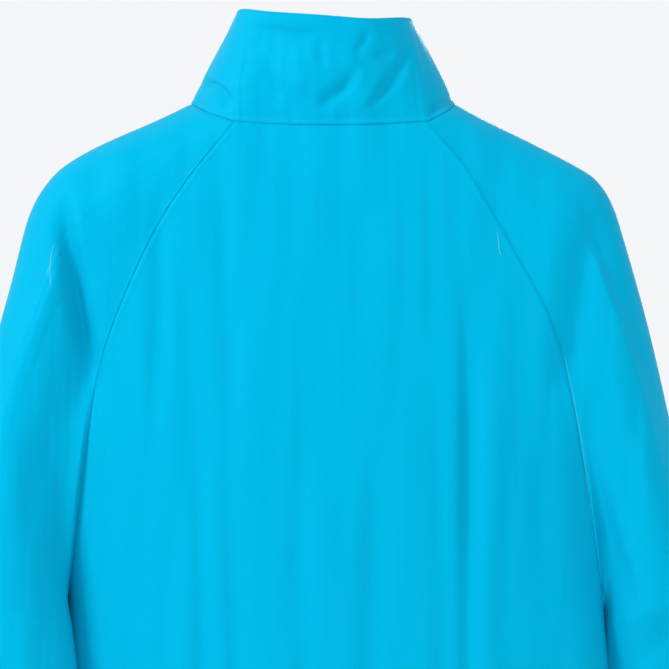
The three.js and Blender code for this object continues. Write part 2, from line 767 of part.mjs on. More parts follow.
const cuffLeft = new Panel("cuff_left", cuffGrid(sleeveLeft.grid), BAND_WALL, true, CYAN_DEEP);
const cuffRight = new Panel("cuff_right", cuffGrid(sleeveRight.grid), BAND_WALL, true, CYAN_DEEP);

const neckLine = [
  ...frontLeft.grid[0].slice(1).reverse(),
  ...sleeveLeft.grid[0].slice(SEAM_STEPS, pastNeck + 1).reverse(),
  ...back.grid[0].slice(1, -1).reverse(),
  ...sleeveRight.grid[0].slice(SEAM_STEPS, pastNeck + 1).reverse(),
  ...frontRight.grid[0].slice(0, -1).reverse(),
].map((p) => p.clone());
const collar = new Panel("collar", collarGrid(neckLine), COLLAR_WALL, false, CYAN);

const bottom = SEAM_STEPS + SIDE_STEPS;
const hemLine = [
  ...[...frontLeft.grid[bottom]].reverse(),
  ...back.grid[bottom].slice(1, -1).reverse(),
  ...[...frontRight.grid[bottom]].reverse(),
].map((p) => p.clone());
const hemBand = new Panel("hem_band", hemGrid(hemLine), BAND_WALL, false, CYAN_DEEP, 0.5);

const hemRow = BAND_STEPS;
joinSeam(
  places(back, BACK_STEPS - 1, (k) => ({ i: bottom, j: BACK_STEPS - 1 - k })),
  places(hemBand, BACK_STEPS - 1, (k) => ({ i: hemRow, j: FRONT_STEPS + 1 + k })),
);
joinSeam(
  places(frontLeft, FRONT_STEPS + 1, (k) => ({ i: bottom, j: FRONT_STEPS - k })),
  places(hemBand, FRONT_STEPS + 1, (k) => ({ i: hemRow, j: k })),
);
joinSeam(
  places(frontRight, FRONT_STEPS + 1, (k) => ({ i: bottom, j: FRONT_STEPS - k })),
  places(hemBand, FRONT_STEPS + 1, (k) => ({ i: hemRow, j: FRONT_STEPS + BACK_STEPS + k })),
);

// The line of the front opening from the collar's rim down to the hem on one side.
function openingLine(sign) {
  const front = sign > 0 ? frontLeft : frontRight;
  const end = sign > 0 ? FRONT_STEPS : 0;
  const edge = (grid) => grid.map((row) => row[sign > 0 ? 0 : row.length - 1]);
  return [
    ...edge(collar.grid).reverse(),
    ...front.grid.slice(1).map((row) => row[end]),
    ...edge(hemBand.grid).reverse().slice(1),
  ];
}

function tapeGrid(sign) {
  return openingLine(sign).map((p) => {
    const row = [vec(sign * ZIP_EDGE, p.y, p.z), vec(0, p.y, p.z)];
    return sign > 0 ? row : row.reverse();
  });
}

const tapeLeft = new Panel("zip_tape_left", tapeGrid(1), TAPE_WALL, false, CYAN_DEEP);
const tapeRight = new Panel("zip_tape_right", tapeGrid(-1), TAPE_WALL, false, CYAN_DEEP);

// A solid through closed rings of points, with flat ends.
function loft(rings) {
  const count = rings[0].length;
  const positions = rings.flat().flatMap((p) => [p.x, p.y, p.z]);
  const index = [];
  for (let i = 0; i < rings.length - 1; i += 1) {
    for (let j = 0; j < count; j += 1) {
      const a = i * count + j;
      const b = i * count + ((j + 1) % count);
      index.push(a, b, b + count, a, b + count, a + count);
    }
  }
  const last = (rings.length - 1) * count;
  for (let j = 1; j < count - 1; j += 1) {
    index.push(0, j + 1, j, last, last + j, last + j + 1);
  }
  const geometry = new THREE.BufferGeometry();
  geometry.setAttribute("position", new THREE.Float32BufferAttribute(positions, 3));
  geometry.setIndex(index);
  return geometry;
}

function ring(centre, out, across, wide, tall, count) {
  return Array.from({ length: count }, (unused, k) => {
    const a = (2 * Math.PI * k) / count;
    return centre
      .clone()
      .addScaledVector(out, wide * Math.cos(a))
      .addScaledVector(across, tall * Math.sin(a));
  });
}

const kit = await Module();
kit.setup();

// A geometry as a solid that can be joined with others, whichever way its faces were listed.
function solid(geometry) {
  const positions = new Float32Array(geometry.getAttribute("position").array);
  const triangles = new Uint32Array(geometry.index.array);
  const a = new THREE.Vector3();
  const b = new THREE.Vector3();
  const c = new THREE.Vector3();
  let volume = 0;
  for (let i = 0; i < triangles.length; i += 3) {
    a.fromArray(positions, 3 * triangles[i]);
    b.fromArray(positions, 3 * triangles[i + 1]);
    c.fromArray(positions, 3 * triangles[i + 2]);
    volume += a.dot(b.cross(c));
  }
  if (volume < 0) triangles.reverse();
  return new kit.Manifold(
    new kit.Mesh({ numProp: 3, vertProperties: positions, triVerts: triangles }),
  );
}

function solidMesh(name, made, colour, roughness, metalness) {
  const out = made.getMesh();
  const geometry = new THREE.BufferGeometry();
  geometry.setAttribute("position", new THREE.BufferAttribute(out.vertProperties, 3));
  geometry.setIndex(new THREE.BufferAttribute(out.triVerts, 1));
  geometry.computeVertexNormals();
  const mesh = new THREE.Mesh(geometry, surface(colour, roughness, metalness));
  mesh.name = name;
  return mesh;
}

// The height of the cloth over a hanger arm, on the middle line of the shoulder.
function shoulderHeight(x) {
  const sleeve = x > 0 ? sleeveLeft : sleeveRight;
  const middle = SEAM_STEPS + NECK_STEPS / 2;
  const line = sleeve.grid.slice(0, SHOULDER_STEPS).map((row) => {
    const p = row[x > 0 ? middle : AROUND - middle];
    return { x: Math.abs(p.x), height: p.z };
  });
  const at = Math.abs(x);
  const i = Math.max(0, line.findIndex((row) => row.x > at) - 1);
  const t = (at - line[i].x) / (line[i + 1].x - line[i].x);
  return mix(line[i].height, line[i + 1].height, t);
}

// The moulded hanger: two arms that carry the shoulders and a hook in one piece.
function hangerMesh() {
  const table = HANGER_ARM;
  const start = table[table.length - 1].x;
  const rings = [];
  const stations = [];
  for (let k = -11; k <= 11; k += 1) stations.push((k / 11) * (HANGER_TIP - 12));
  for (const extra of [6, 10, 12]) {
    stations.push(HANGER_TIP - 12 + extra);
    stations.unshift(-(HANGER_TIP - 12 + extra));
  }
  for (const x of stations) {
    const at = Math.abs(x);
    const inner = at <= start;
    const blend = ease(start - 30, start + 15, at);
    const own = read(table, "x", "top", Math.min(at, start));
    const under = at > table[2].x + 25 ? shoulderHeight(x) - CLOTH_WALL - HANGER_GAP : own;
    const top = inner ? mix(own, Math.min(own, under), blend) : under;
    const full = inner ? read(table, "x", "deep", at) : HANGER_DEEP;
    const tall = inner ? read(table, "x", "tall", at) : mix(10, HANGER_TALL, ease(start, 160, at));
    const end = Math.sqrt(Math.max(0.04, 1 - Math.max(0, (at - HANGER_TIP + 12) / 12.2) ** 2));
    const shift = x > 0 ? HANGER_SHIFT.left : HANGER_SHIFT.right;
    const middle = vec(x, shift * ease(70, 125, at), top - tall / 2);
    rings.push(ring(middle, vec(0, 1, 0), vec(0, 0, 1), full * end, (tall / 2) * end, 10));
  }
  const bend = HOOK_INSIDE + HOOK_WIRE;
  const turn = (degrees) => vec(
    bend * Math.cos(THREE.MathUtils.degToRad(degrees)),
    0,
    bend * Math.sin(THREE.MathUtils.degToRad(degrees)) - HOOK_INSIDE,
  );
  const path = [-22, 0, 22, 45, 68, 90, 112, 135, 158, 180, 202, 224].map(turn);
  path.push(vec(-8.6, 0, -35.5), vec(-2.6, 0, -40.5), vec(0, 0, -46), vec(0, 0, -54));
  const curve = new THREE.CatmullRomCurve3(path);
  const wire = [];
  for (let k = 0; k <= 24; k += 1) {
    const along = curve.getTangent(k / 24);
    const out = vec(along.z, 0, -along.x).normalize();
    const round = k === 0 ? 0.6 : 1;
    wire.push(ring(curve.getPoint(k / 24), out, vec(0, 1, 0), HOOK_WIRE * round,
      HOOK_WIRE * round, 8));
  }
  const made = solid(loft(rings)).add(solid(loft(wire)));
  return solidMesh("hanger", made, HANGER_GREY, 0.35, 0);
}

// A place on the front of the closed zip: a point and the directions up along it and out of it.
function zipPlace(drop) {
  const line = openingLine(1).map((p) => vec(0, p.y, p.z));
  let left = drop;
  let i = 0;
  while (left > line[i].distanceTo(line[i + 1])) {
    left -= line[i].distanceTo(line[i + 1]);
    i += 1;
  }
  const up = line[i].clone().sub(line[i + 1]).normalize();
  const point = line[i].clone().addScaledVector(up, -left);
  return { point, up, out: vec(0, -up.z, up.y) };
}

function boxAlong(place, high, low, wide, from, to) {
  const rings = [from, to].map((depth) => {
    const at = place.point.clone().addScaledVector(place.out, depth);
    return [[-wide, low], [wide, low], [wide, high], [-wide, high]].map(([x, rise]) =>
      at.clone().addScaledVector(place.up, rise).add(vec(x, 0, 0)),
    );
  });
  return solid(loft(rings));
}

function barAcross(centre, radius, half, count) {
  return solid(loft([-half, half].map((x) =>
    ring(centre.clone().add(vec(x, 0, 0)), vec(0, 1, 0), vec(0, 0, 1), radius, radius, count),
  )));
}

const zipTop = zipPlace(SLIDER_DROP);
const LUG_RISE = SLIDER_FRONT + LUG_HOLE + 1.3;
const pullPivot = zipTop.point.clone().addScaledVector(zipTop.out, LUG_RISE);

// The slider: a body in front of the closed teeth and a lug that holds the pull tab.
function sliderMesh() {
  const half = SLIDER_LENGTH / 2;
  const body = boxAlong(zipTop, half, -half, SLIDER_WIDTH / 2, SLIDER_BACK, SLIDER_FRONT);
  const posts = [-1, 1].map((sign) => {
    const place = { ...zipTop, point: zipTop.point.clone().add(vec(sign * 2.7, 0, 0)) };
    return boxAlong(place, LUG_RADIUS, -LUG_RADIUS, 0.7, SLIDER_FRONT - 0.3, LUG_RISE);
  });
  const bar = barAcross(pullPivot, LUG_RADIUS, 3.4, 12);
  return solidMesh("zip_slider", body.add(posts[0]).add(posts[1]).add(bar), NICKEL, 0.3, 1);
}

// The pull tab: a ring round the lug's bar and a plate that hangs straight down from it.
function pullMesh() {
  const outer = LUG_HOLE + 1.0;
  const tag = { point: pullPivot, up: vec(0, 0, 1), out: vec(0, -1, 0) };
  const half = PULL_THICK / 2;
  const neck = boxAlong(tag, -LUG_HOLE - 0.2, -9, 1.6, -half, half);
  const plate = boxAlong(tag, -8, -PULL_LENGTH, PULL_WIDTH / 2, -half, half);
  const ringPart = barAcross(pullPivot, outer, 1.6, 20);
  const hole = barAcross(pullPivot, LUG_HOLE, 3, 20);
  const made = ringPart.add(neck).add(plate).subtract(hole);
  return solidMesh("zip_pull", made, NICKEL, 0.3, 1);
}

const cloth = [
  back, frontLeft, frontRight, sleeveLeft, sleeveRight, cuffLeft, cuffRight, collar, hemBand,
  tapeLeft, tapeRight,
];
const group = new THREE.Group();
for (const panel of cloth) group.add(panel.mesh());
group.add(hangerMesh(), sliderMesh(), pullMesh());

export default group;
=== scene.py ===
"""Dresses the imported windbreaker: fine cloth shells, gathers, stitching, zip, hanger and studio."""

import logging
import math
from dataclasses import dataclass
from enum import Enum
from typing import Sequence

import bpy
import numpy as np
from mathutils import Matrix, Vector
from mathutils.bvhtree import BVHTree


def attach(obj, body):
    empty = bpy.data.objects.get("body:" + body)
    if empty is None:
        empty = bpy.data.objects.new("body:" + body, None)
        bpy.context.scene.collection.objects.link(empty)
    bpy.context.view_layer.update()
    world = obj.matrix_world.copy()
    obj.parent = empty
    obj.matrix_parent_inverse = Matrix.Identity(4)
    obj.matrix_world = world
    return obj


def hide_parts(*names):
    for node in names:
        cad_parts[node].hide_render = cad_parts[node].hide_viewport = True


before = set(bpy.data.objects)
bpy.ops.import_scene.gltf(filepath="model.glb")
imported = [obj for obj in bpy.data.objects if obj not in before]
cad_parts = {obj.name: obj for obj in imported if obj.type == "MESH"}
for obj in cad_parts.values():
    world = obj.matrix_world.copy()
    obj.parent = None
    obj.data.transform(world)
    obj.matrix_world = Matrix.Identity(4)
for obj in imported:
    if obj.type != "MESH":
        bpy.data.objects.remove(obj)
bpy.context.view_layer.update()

Array = np.ndarray
log = logging.getLogger("windbreaker")

MM = 0.001
ZIP_EDGE = 8.3
ZIP_STITCH = 5.0
UNDERARM = -456.0
HEM_SEAM = -702.0
HEM_END = -748.0
FRONT_NECK = -118.0
NECK_DIP = 3.4
HEM_GATHERS = 8
CUFF_LENGTH = 48.0
SEAM_UNITS = 12.0
SIDE_UNITS = 10.0
NECK_UNITS = 6.0
AROUND = 2 * SEAM_UNITS + NECK_UNITS
SHOULDER_UNITS = 10.0
SLEEVE_GATHERS = 7
CLOTH_WALL = 0.8
COLLAR_SHELL = 1.3
BAND_SHELL = 1.6
HEM_WAVE_DEPTH = 2.6
HEM_WAVE_RISE = 90.0
CUFF_WAVE_DEPTH = 1.7
CUFF_WAVE_START = 0.62
SEAM_INSET = 0.07

# Raglan seams: their length; the groove's depth and half width; the height, place and width of the
# roll beside it; the height and reach of its puckers. The neck seam has a groove only.
SEAM_LENGTH = 480.0
SEAM_GROOVE = (0.45, 1.1)
SEAM_ROLL = (0.35, 3.2, 1.9)
SEAM_PUCKER = (0.16, 9.0)
NECK_GROOVE = (0.6, 1.6)

# The valley beside a raglan seam: where it starts and ends, and its depth on the left and right.
VALLEY_EDGE = 6.0
VALLEY_REACH = 34.0
VALLEY_DEPTHS = (6.0, 3.0)

# Topstitching: the column beside the zip on the collar and the first point of a front panel's row.
COLLAR_STITCH_COLUMN = 7
FRONT_STITCH_START = 4

# Height, half width to the wearer's left and right, stand-off of the back and of the front.
BODY_ROWS = (
    (-55, 112, 106, 35, 38),
    (-70, 137, 130, 38, 41),
    (-90, 172, 166, 42, 46),
    (-118, 214, 212, 45, 50),
    (-150, 236, 234, 47, 53),
    (-210, 243, 243, 49, 55),
    (-290, 230, 238, 50, 55),
    (-370, 214, 229, 50, 54),
    (-456, 206, 225, 50, 53),
    (-513, 209, 229, 51, 53),
    (-580, 214, 231, 53, 55),
    (-640, 217, 230, 56, 58),
    (-680, 211, 220, 57, 59),
    (-702, 192, 196, 49, 51),
    (-748, 189, 192, 47, 49),
)

# The raglan seams from the neck to the underarm: distance from the middle and height.
BACK_SEAM_LEFT = (
    (71, -73.6),
    (107, -117.6),
    (131, -153.6),
    (151, -193.6),
    (169.5, -237.6),
    (180.5, -273.6),
    (187, -310),
    (194, -360),
    (200.5, -415),
    (206, -456),
)
BACK_SEAM_RIGHT = (
    (83, -73.6),
    (113, -109.6),
    (137, -149.6),
    (157, -185.6),
    (177, -221.6),
    (189, -253.6),
    (198.5, -293.6),
    (206.5, -337.6),
    (215, -393.6),
    (221.5, -438),
    (225, -456),
)
FRONT_SEAM_LEFT = (
    (74, -82),
    (98, -118),
    (121, -160),
    (141, -205),
    (160, -255),
    (176, -310),
    (189, -365),
    (199, -418),
    (206, -456),
)
FRONT_SEAM_RIGHT = (
    (76, -82),
    (100, -118),
    (125, -160),
    (147, -205),
    (168, -255),
    (187, -310),
    (204, -365),
    (217, -418),
    (225, -456),
)

# The top line of each shoulder and sleeve seen square from behind.
OUTLINE_LEFT = (
    (106.5, -58.5),
    (135, -72.5),
    (174, -90),
    (197, -102),
    (215, -115),
    (229, -133),
    (237, -150),
    (242, -167),
    (251, -204),
    (259, -234),
    (275, -295),
    (290, -352),
    (304, -405),
    (315, -449),
)
OUTLINE_RIGHT = (
    (105, -58.5),
    (125, -70),
    (161, -88),
    (201, -109),
    (217, -119.5),
    (227, -132),
    (234, -147),
    (239, -163),
    (246, -187),
    (257, -227),
    (265, -259),
    (276, -307),
    (289, -362),
    (301, -412),
    (310, -452),
)

# Sleeve sections: inner end and its height, outer end and its height, middle and half depth.
ARM_LEFT = (
    (202.5, -476, 315, -449, 21, 42),
    (197, -520, 327, -497, 30, 42),
    (197, -562, 337, -542, 31, 42),
    (219, -622, 348, -600, 18, 41),
    (238, -682, 357, -658, 5, 39),
    (251, -724, 361, -700, 0, 36),
    (268, -752, 355, -733, -3, 22),
)
ARM_RIGHT = (
    (224.5, -476, 310, -452, -15, 49),
    (221, -520, 321, -497, -28, 50),
    (226, -562, 331, -542, -27, 49),
    (239, -622, 342, -600, -16, 46),
    (250, -682, 351, -658, -11, 42),
    (261, -724, 356, -702, -8, 37),
    (272, -752, 352, -735, -8, 23),
)

# The neck seam over each shoulder: distance from the middle, depth and height.
NECK_LEFT = ((92, -24, -70), (106.5, 0, -58.5), (94, 23, -65.5))
NECK_RIGHT = ((92, -24, -70), (105, 0, -58.5), (98, 21, -65))
RIDGE = ((0, 0), (1, 4.2), (2, 3.4), (3, 1.2), (4, 0), (5, 0))

# The collar's rim by share of the way round from the zip past the wearer's left.
RIM_ROWS = (
    (0.0, 8.4, -84, -33),
    (0.07, 34, -78, -29),
    (0.14, 54, -62, -20),
    (0.21, 66, -38, -4),
    (0.28, 70.5, -12, 11),
    (0.35, 66.5, 15, 17),
    (0.425, 43, 38, 14),
    (0.5, 4, 48, 11),
    (0.575, -34, 43, 8.4),
    (0.65, -65, 20, 10),
    (0.72, -71, -12, 8),
    (0.79, -66, -38, -6),
    (0.86, -54, -62, -20),
    (0.93, -34, -78, -29),
    (1.0, -8.4, -84, -33),
)


def mix(a: Array, b: Array, t: Array) -> Array:
    """Goes from a to b as t goes from 0 to 1."""
    return a + (b - a) * t


def ease(low: float, high: float, value: Array) -> Array:
    """Rises smoothly from 0 at low to 1 at high."""
    t = np.clip((np.asarray(value, float) - low) / (high - low), 0, 1)
    return t * t * (3 - 2 * t)


def unit(vectors: Array) -> Array:
    """The same directions with a length of one."""
    return vectors / np.maximum(np.linalg.norm(vectors, axis=-1, keepdims=True), 1e-9)


def shares_of(points: Array) -> Array:
    """The share of the way along a line at each of its points."""
    gone = np.concatenate([[0.0], np.cumsum(np.linalg.norm(np.diff(points, axis=0), axis=1))])
    return gone / gone[-1]


def resampled(points: Array, shares: Array) -> Array:
    """A line's points at other shares of its length.

    Args:
        points: The line, one point a row.
        shares: The shares of its length that are wanted.

    Returns:
        One point for each share.
    """
    own = shares_of(points)
    return np.stack([np.interp(shares, own, points[:, k]) for k in range(points.shape[1])], -1)


class Curve:
    """A smooth curve through rows of numbers, read by the first of them and held at its ends."""

    def __init__(self, rows: Sequence[Sequence[float]]) -> None:
        """Sorts the rows by key and works out the slope at each."""
        table = np.array(rows, float)
        table = table[np.argsort(table[:, 0])]
        self.keys, self.values = table[:, 0], table[:, 1:]
        count = len(self.keys)
        after = np.minimum(np.arange(count) + 1, count - 1)
        before = np.maximum(np.arange(count) - 1, 0)
        steps = (self.keys[after] - self.keys[before])[:, None]
        self.slopes = (self.values[after] - self.values[before]) / steps

    def __call__(self, at: Array) -> Array:
        """Reads every column at a key.

        Args:
            at: The keys, of any shape.

        Returns:
            The columns' values, in one more dimension at the end.
        """
        clear = np.clip(np.asarray(at, float), self.keys[0], self.keys[-1])
        i = np.clip(np.searchsorted(self.keys, clear, side="left") - 1, 0, len(self.keys) - 2)
        step = (self.keys[i + 1] - self.keys[i])[..., None]
        t = (clear - self.keys[i])[..., None] / step
        flat = 1 - t
        return (
            self.values[i] * (1 + 2 * t) * flat * flat
            + self.values[i + 1] * (3 - 2 * t) * t * t
            + step * t * flat * (self.slopes[i] * flat - self.slopes[i + 1] * t)
        )


class Face(Enum):
    """A side of the jacket: the way it faces along Y and its column of the body's table."""

    BACK = (1, 2)
    FRONT = (-1, 3)

    @property
    def sign(self) -> int:
        """The way this side faces along Y."""
        return self.value[0]


class Side(Enum):
    """The wearer's left or right."""

    LEFT = 1
    RIGHT = -1


@dataclass(frozen=True)
class TorsoForm:
    """The body's rounded section at each height."""

    curve: Curve = Curve(BODY_ROWS)
    roundness: float = 2.2

    def share(self, x: Array, height: Array) -> Array:
        """How far across the body a place is, from -1 at the right side to 1 at the left."""
        sizes = self.curve(height)
        return np.clip(x / np.where(np.asarray(x) > 0, sizes[..., 0], sizes[..., 1]), -1, 1)

    def point(self, share: Array, height: Array, face: Face) -> Array:
        """Points of the body's surface.

        Args:
            share: The places across, from -1 to 1.
            height: The heights, of the same shape.
            face: The back or the front.

        Returns:
            The points, in millimetres.
        """
        share, height = np.broadcast_arrays(share, height)
        sizes = self.curve(height)
        wide = np.where(share > 0, sizes[..., 0], sizes[..., 1])
        full = np.maximum(0, 1 - np.abs(share) ** self.roundness) ** (1 / self.roundness)
        depth = face.sign * sizes[..., face.value[1]] * full
        return np.stack([share * wide, depth, height], -1)


TORSO = TorsoForm()


class SeamLine:
    """One raglan seam, read from the neck at 0 to the underarm at 1."""

    def __init__(self, rows: Sequence[Sequence[float]]) -> None:
        """Adds the shares of the way along to the rows."""
        table = np.array(rows, float)
        self.curve = Curve(np.column_stack([shares_of(table), table]))
        self.top = float(table[0, 1])

    def __call__(self, t: Array) -> tuple[Array, Array]:
        """The distance from the middle and the height at a place, closer together low down."""
        values = self.curve(1 - (1 - np.clip(t, 0, 1)) ** 1.25)
        return values[..., 0], values[..., 1]


SEAMS = {
    (Face.BACK, Side.LEFT): SeamLine(BACK_SEAM_LEFT),
    (Face.BACK, Side.RIGHT): SeamLine(BACK_SEAM_RIGHT),
    (Face.FRONT, Side.LEFT): SeamLine(FRONT_SEAM_LEFT),
    (Face.FRONT, Side.RIGHT): SeamLine(FRONT_SEAM_RIGHT),
}


@dataclass(frozen=True)
class Fold:
    """A soft trough or ridge that hangs down the cloth on a bowed line."""

    top: float
    bottom: float
    start: float
    middle: float
    end: float
    width: float
    depth: float
    sharp: float = 1.0

    def lift(self, x: Array, height: Array) -> Array:
        """How far this fold moves the cloth out.

        Args:
            x: Places across.
            height: Heights, of the same shape.

        Returns:
            The lift at each place, in millimetres.
        """
        t = np.clip((self.top - height) / (self.top - self.bottom), 0, 1)
        flat = 1 - t
        bow = 2 * self.middle - (self.start + self.end) / 2
        line = flat * flat * self.start + 2 * t * flat * bow + t * t * self.end
        off = (x - line) / self.width
        off = np.where(off > 0, off, off * self.sharp)
        low = 1.0 if self.bottom < HEM_END else ease(0, 0.3, flat)
        return self.depth * ease(0, 0.3, t) * low * np.exp(-off * off)


@dataclass(frozen=True)
class Crease:
    """A small crease along a bent line, softer on one side than on the other."""

    points: tuple[tuple[float, float], ...]
    width: float
    depth: float
    soft: float = 1.8

    def lift(self, x: Array, height: Array) -> Array:
        """How far this crease moves the cloth out.

        Args:
            x: Places across.
            height: Heights, of the same shape.

        Returns:
            The lift at each place, in millimetres.
        """
        line = resampled(np.array(self.points, float), np.linspace(0, 1, 12))
        own = np.linspace(0, 1, 12)
        best = np.full(np.shape(x), 1e9)
        gone = np.zeros(np.shape(x))
        side = np.ones(np.shape(x))
        for a, b, low, high in zip(line[:-1], line[1:], own[:-1], own[1:]):
            d = b - a
            t = np.clip(((x - a[0]) * d[0] + (height - a[1]) * d[1]) / (d @ d), 0, 1)
            dx, dz = x - a[0] - t * d[0], height - a[1] - t * d[1]
            away = np.hypot(dx, dz)
            nearer = away < best
            best = np.where(nearer, away, best)
            gone = np.where(nearer, mix(low, high, t), gone)
            side = np.where(nearer, np.sign(d[0] * dz - d[1] * dx), side)
        wide = self.width * np.where(side > 0, self.soft, 1.0)
        ends = ease(0, 0.35, gone) * ease(0, 0.35, 1 - gone)
        return self.depth * ends * np.exp(-((best / wide) ** 2))


@dataclass(frozen=True)
class Drape:
    """The slight unevenness of hanging cloth: many faint waves that run mostly down it."""

    seed: int
    waves: int = 16
    height: float = 0.3
    grain: float = 0.03

    def lift(self, x: Array, z: Array) -> Array:
        """How far the unevenness moves the cloth out.

        Args:
            x: Places across.
            z: Heights, of the same shape.

        Returns:
            The lift at each place, in millimetres.
        """
        rng = np.random.default_rng(self.seed)
        total = np.zeros(np.shape(x))
        for _ in range(self.waves):
            across, down = rng.uniform(32, 120), rng.uniform(180, 700)
            angle = rng.uniform(0, 2 * math.pi)
            phase = 2 * math.pi * (x / across + rng.choice([-1, 1]) * z / down) + angle
            total += self.height * rng.uniform(0.5, 1.2) * np.sin(phase)
        for _ in range(self.waves):
            across, down = rng.uniform(7, 22), rng.uniform(140, 420)
            phase = 2 * math.pi * (x / across + rng.choice([-1, 1]) * z / down)
            total += self.grain * np.sin(phase + rng.uniform(0, 2 * math.pi))
        return total


@dataclass(frozen=True)
class Gathers:
    """Uneven gathers that run up from an elastic seam."""

    count: int
    span: tuple[float, float]
    width: tuple[float, float]
    depth: float
    reach: tuple[float, float]
    seed: int

    def lift(self, place: Array, rise: Array) -> Array:
        """How far the gathers move the cloth out.

        Args:
            place: Places along the seam, in the units of span.
            rise: How far above the seam each point is, in millimetres.

        Returns:
            The lift at each place, in millimetres.
        """
        rng = np.random.default_rng(self.seed)
        total = np.zeros(np.shape(place))
        step = (self.span[1] - self.span[0]) / self.count
        for k in range(self.count):
            centre = self.span[0] + (k + rng.uniform(0.2, 0.8)) * step
            wide, reach = rng.uniform(*self.width), rng.uniform(*self.reach)
            lean = rng.uniform(-0.08, 0.08)
            depth = self.depth * rng.uniform(0.5, 1.2) * (1 if k % 2 else -1)
            off = (place - centre - lean * np.maximum(rise, 0)) / wide
            total += depth * np.exp(-off * off - (np.maximum(rise, 0) / reach) ** 1.5)
        return total


# Folds of the back, wearer's left positive. The first lines are the ones that the photo shows.
BACK_FOLDS = (
    Fold(-160, -760, -111, -114, -107, 5, -5, 0.45),
    Fold(-230, -760, -132, -131, -126, 12, 3.5),
    Fold(-240, -760, 100, 97, 88, 6, -4, 0.55),
    Fold(-340, -760, 76, 71, 60, 6, -3.6, 0.6),
    Fold(-200, -760, 21, 17, 13, 6, -2, 0.6),
    Fold(-280, -760, -40, -37, -34, 9, -3, 0.6),
    Fold(-250, -760, -92, -93, -94, 6, -2, 0.7),
    Fold(-76, -330, 82, 78, 74, 9, -2.6),
    Fold(-80, -270, -82, -85, -85, 6, -2, 0.7),
    Fold(-120, -330, 131, 133, 135, 8, -2.4),
    Fold(-140, -420, 111, 109, 106, 7, -2.4, 0.7),
    Fold(-480, -760, 150, 152, 150, 18, -5),
    Fold(-500, -760, -172, -174, -170, 18, -5),
    Fold(-136, -330, 206, 192, 186, 13, -7),
    Fold(-136, -300, -214, -206, -195, 13, -7),
    Fold(-315, -640, -214, -231, -268, 13, -7),
    Fold(-500, -700, 262, 280, 300, 15, -6),
)
FRONT_FOLDS = (
    Fold(-150, -420, 112, 104, 90, 15, -4),
    Fold(-150, -430, -116, -106, -94, 15, -4),
    Fold(-380, -760, 70, 66, 62, 16, -5),
    Fold(-400, -760, -72, -69, -64, 16, -5),
    Fold(-460, -760, 128, 130, 126, 18, -6),
    Fold(-440, -760, -140, -142, -138, 18, -6),
    Fold(-136, -330, 210, 200, 190, 14, -7),
    Fold(-136, -330, -212, -206, -198, 14, -8),
    Fold(-470, -700, 250, 272, 300, 14, -6),
    Fold(-470, -700, -250, -272, -300, 14, -6),
)
BACK_CREASES = (
    Crease(((208, -118), (204, -170), (198, -210), (190, -250), (182, -296)), 6.5, -10, 1.3),
    Crease(((-205, -296), (-214, -350), (-229, -400), (-245, -450), (-264, -512)), 6, -4),
    Crease(((-33, -126), (-30, -160), (-36, -198)), 15, -1.8),
    Crease(((212, -113), (165, -113), (116, -110)), 8, -1.3),
    Crease(((104, -78), (128, -96), (140, -116)), 5, -0.5),
    Crease(((-104, -80), (-119, -99), (-124, -120)), 5, -0.7),
    Crease(((-128, -88), (-141, -104), (-150, -124)), 5, -0.5),
    Crease(((-165, -100), (-176, -130), (-182, -168)), 7, -0.7),
    Crease(((226, -180), (206, -232), (203, -300)), 8, -1.2),
    Crease(((240, -250), (226, -330), (228, -420)), 9, -1.4),
    Crease(((262, -330), (252, -400), (256, -452)), 8, -1.1),
    Crease(((-232, -190), (-224, -250), (-232, -330)), 8, -1.1),
    Crease(((-252, -280), (-246, -350), (-262, -430)), 8, -1.3),
    Crease(((286, -470), (262, -505), (236, -520)), 8, -1.8),
    Crease(((322, -520), (290, -548), (252, -556)), 9, -1.6),
    Crease(((330, -590), (300, -610), (262, -606)), 8, -1.3),
    Crease(((-288, -470), (-262, -500), (-240, -512)), 8, -1.8),
    Crease(((-318, -528), (-288, -552), (-256, -560)), 9, -1.6),
    Crease(((-330, -600), (-300, -622), (-268, -618)), 8, -1.3),
    Crease(((48, -430), (40, -520), (44, -610)), 9, -1.2),
    Crease(((-8, -470), (-14, -560), (-8, -650)), 9, -1.2),
    Crease(((122, -380), (128, -460), (122, -560)), 8, -1.2),
    Crease(((-150, -350), (-156, -430), (-150, -520)), 8, -1.2),
    Crease(((168, -330), (176, -400), (172, -480)), 9, -1.4),
)
FRONT_CREASES = (
    Crease(((30, -150), (52, -230), (56, -330)), 9, -1.2),
    Crease(((-28, -150), (-48, -240), (-60, -350)), 9, -1.2),
    Crease(((150, -250), (142, -340), (150, -430)), 9, -1.4),
    Crease(((-160, -260), (-150, -350), (-158, -450)), 9, -1.4),
    Crease(((28, -430), (34, -520), (30, -620)), 8, -1.1),
    Crease(((-34, -450), (-30, -540), (-36, -640)), 8, -1.1),
    Crease(((212, -120), (170, -116), (122, -118)), 8, -1.2),
    Crease(((-210, -124), (-170, -120), (-126, -120)), 8, -1.2),
    Crease(((240, -240), (230, -330), (236, -420)), 9, -1.4),
    Crease(((-244, -250), (-238, -340), (-248, -430)), 9, -1.4),
    Crease(((318, -500), (286, -530), (250, -530)), 9, -1.8),
    Crease(((326, -570), (296, -590), (258, -588)), 8, -1.5),
    Crease(((-312, -500), (-284, -532), (-252, -534)), 9, -1.8),
    Crease(((-324, -580), (-296, -600), (-262, -598)), 8, -1.5),
)
HEM_GATHER = {
    Face.BACK: Gathers(64, (-205, 205), (2.6, 4.6), 1.5, (14, 60), 11),
    Face.FRONT: Gathers(60, (-205, 205), (2.6, 4.6), 1.5, (14, 60), 12),
}
RELIEF = {
    Face.BACK: (*BACK_FOLDS, *BACK_CREASES, Drape(21)),
    Face.FRONT: (*FRONT_FOLDS, *FRONT_CREASES, Drape(22)),
}


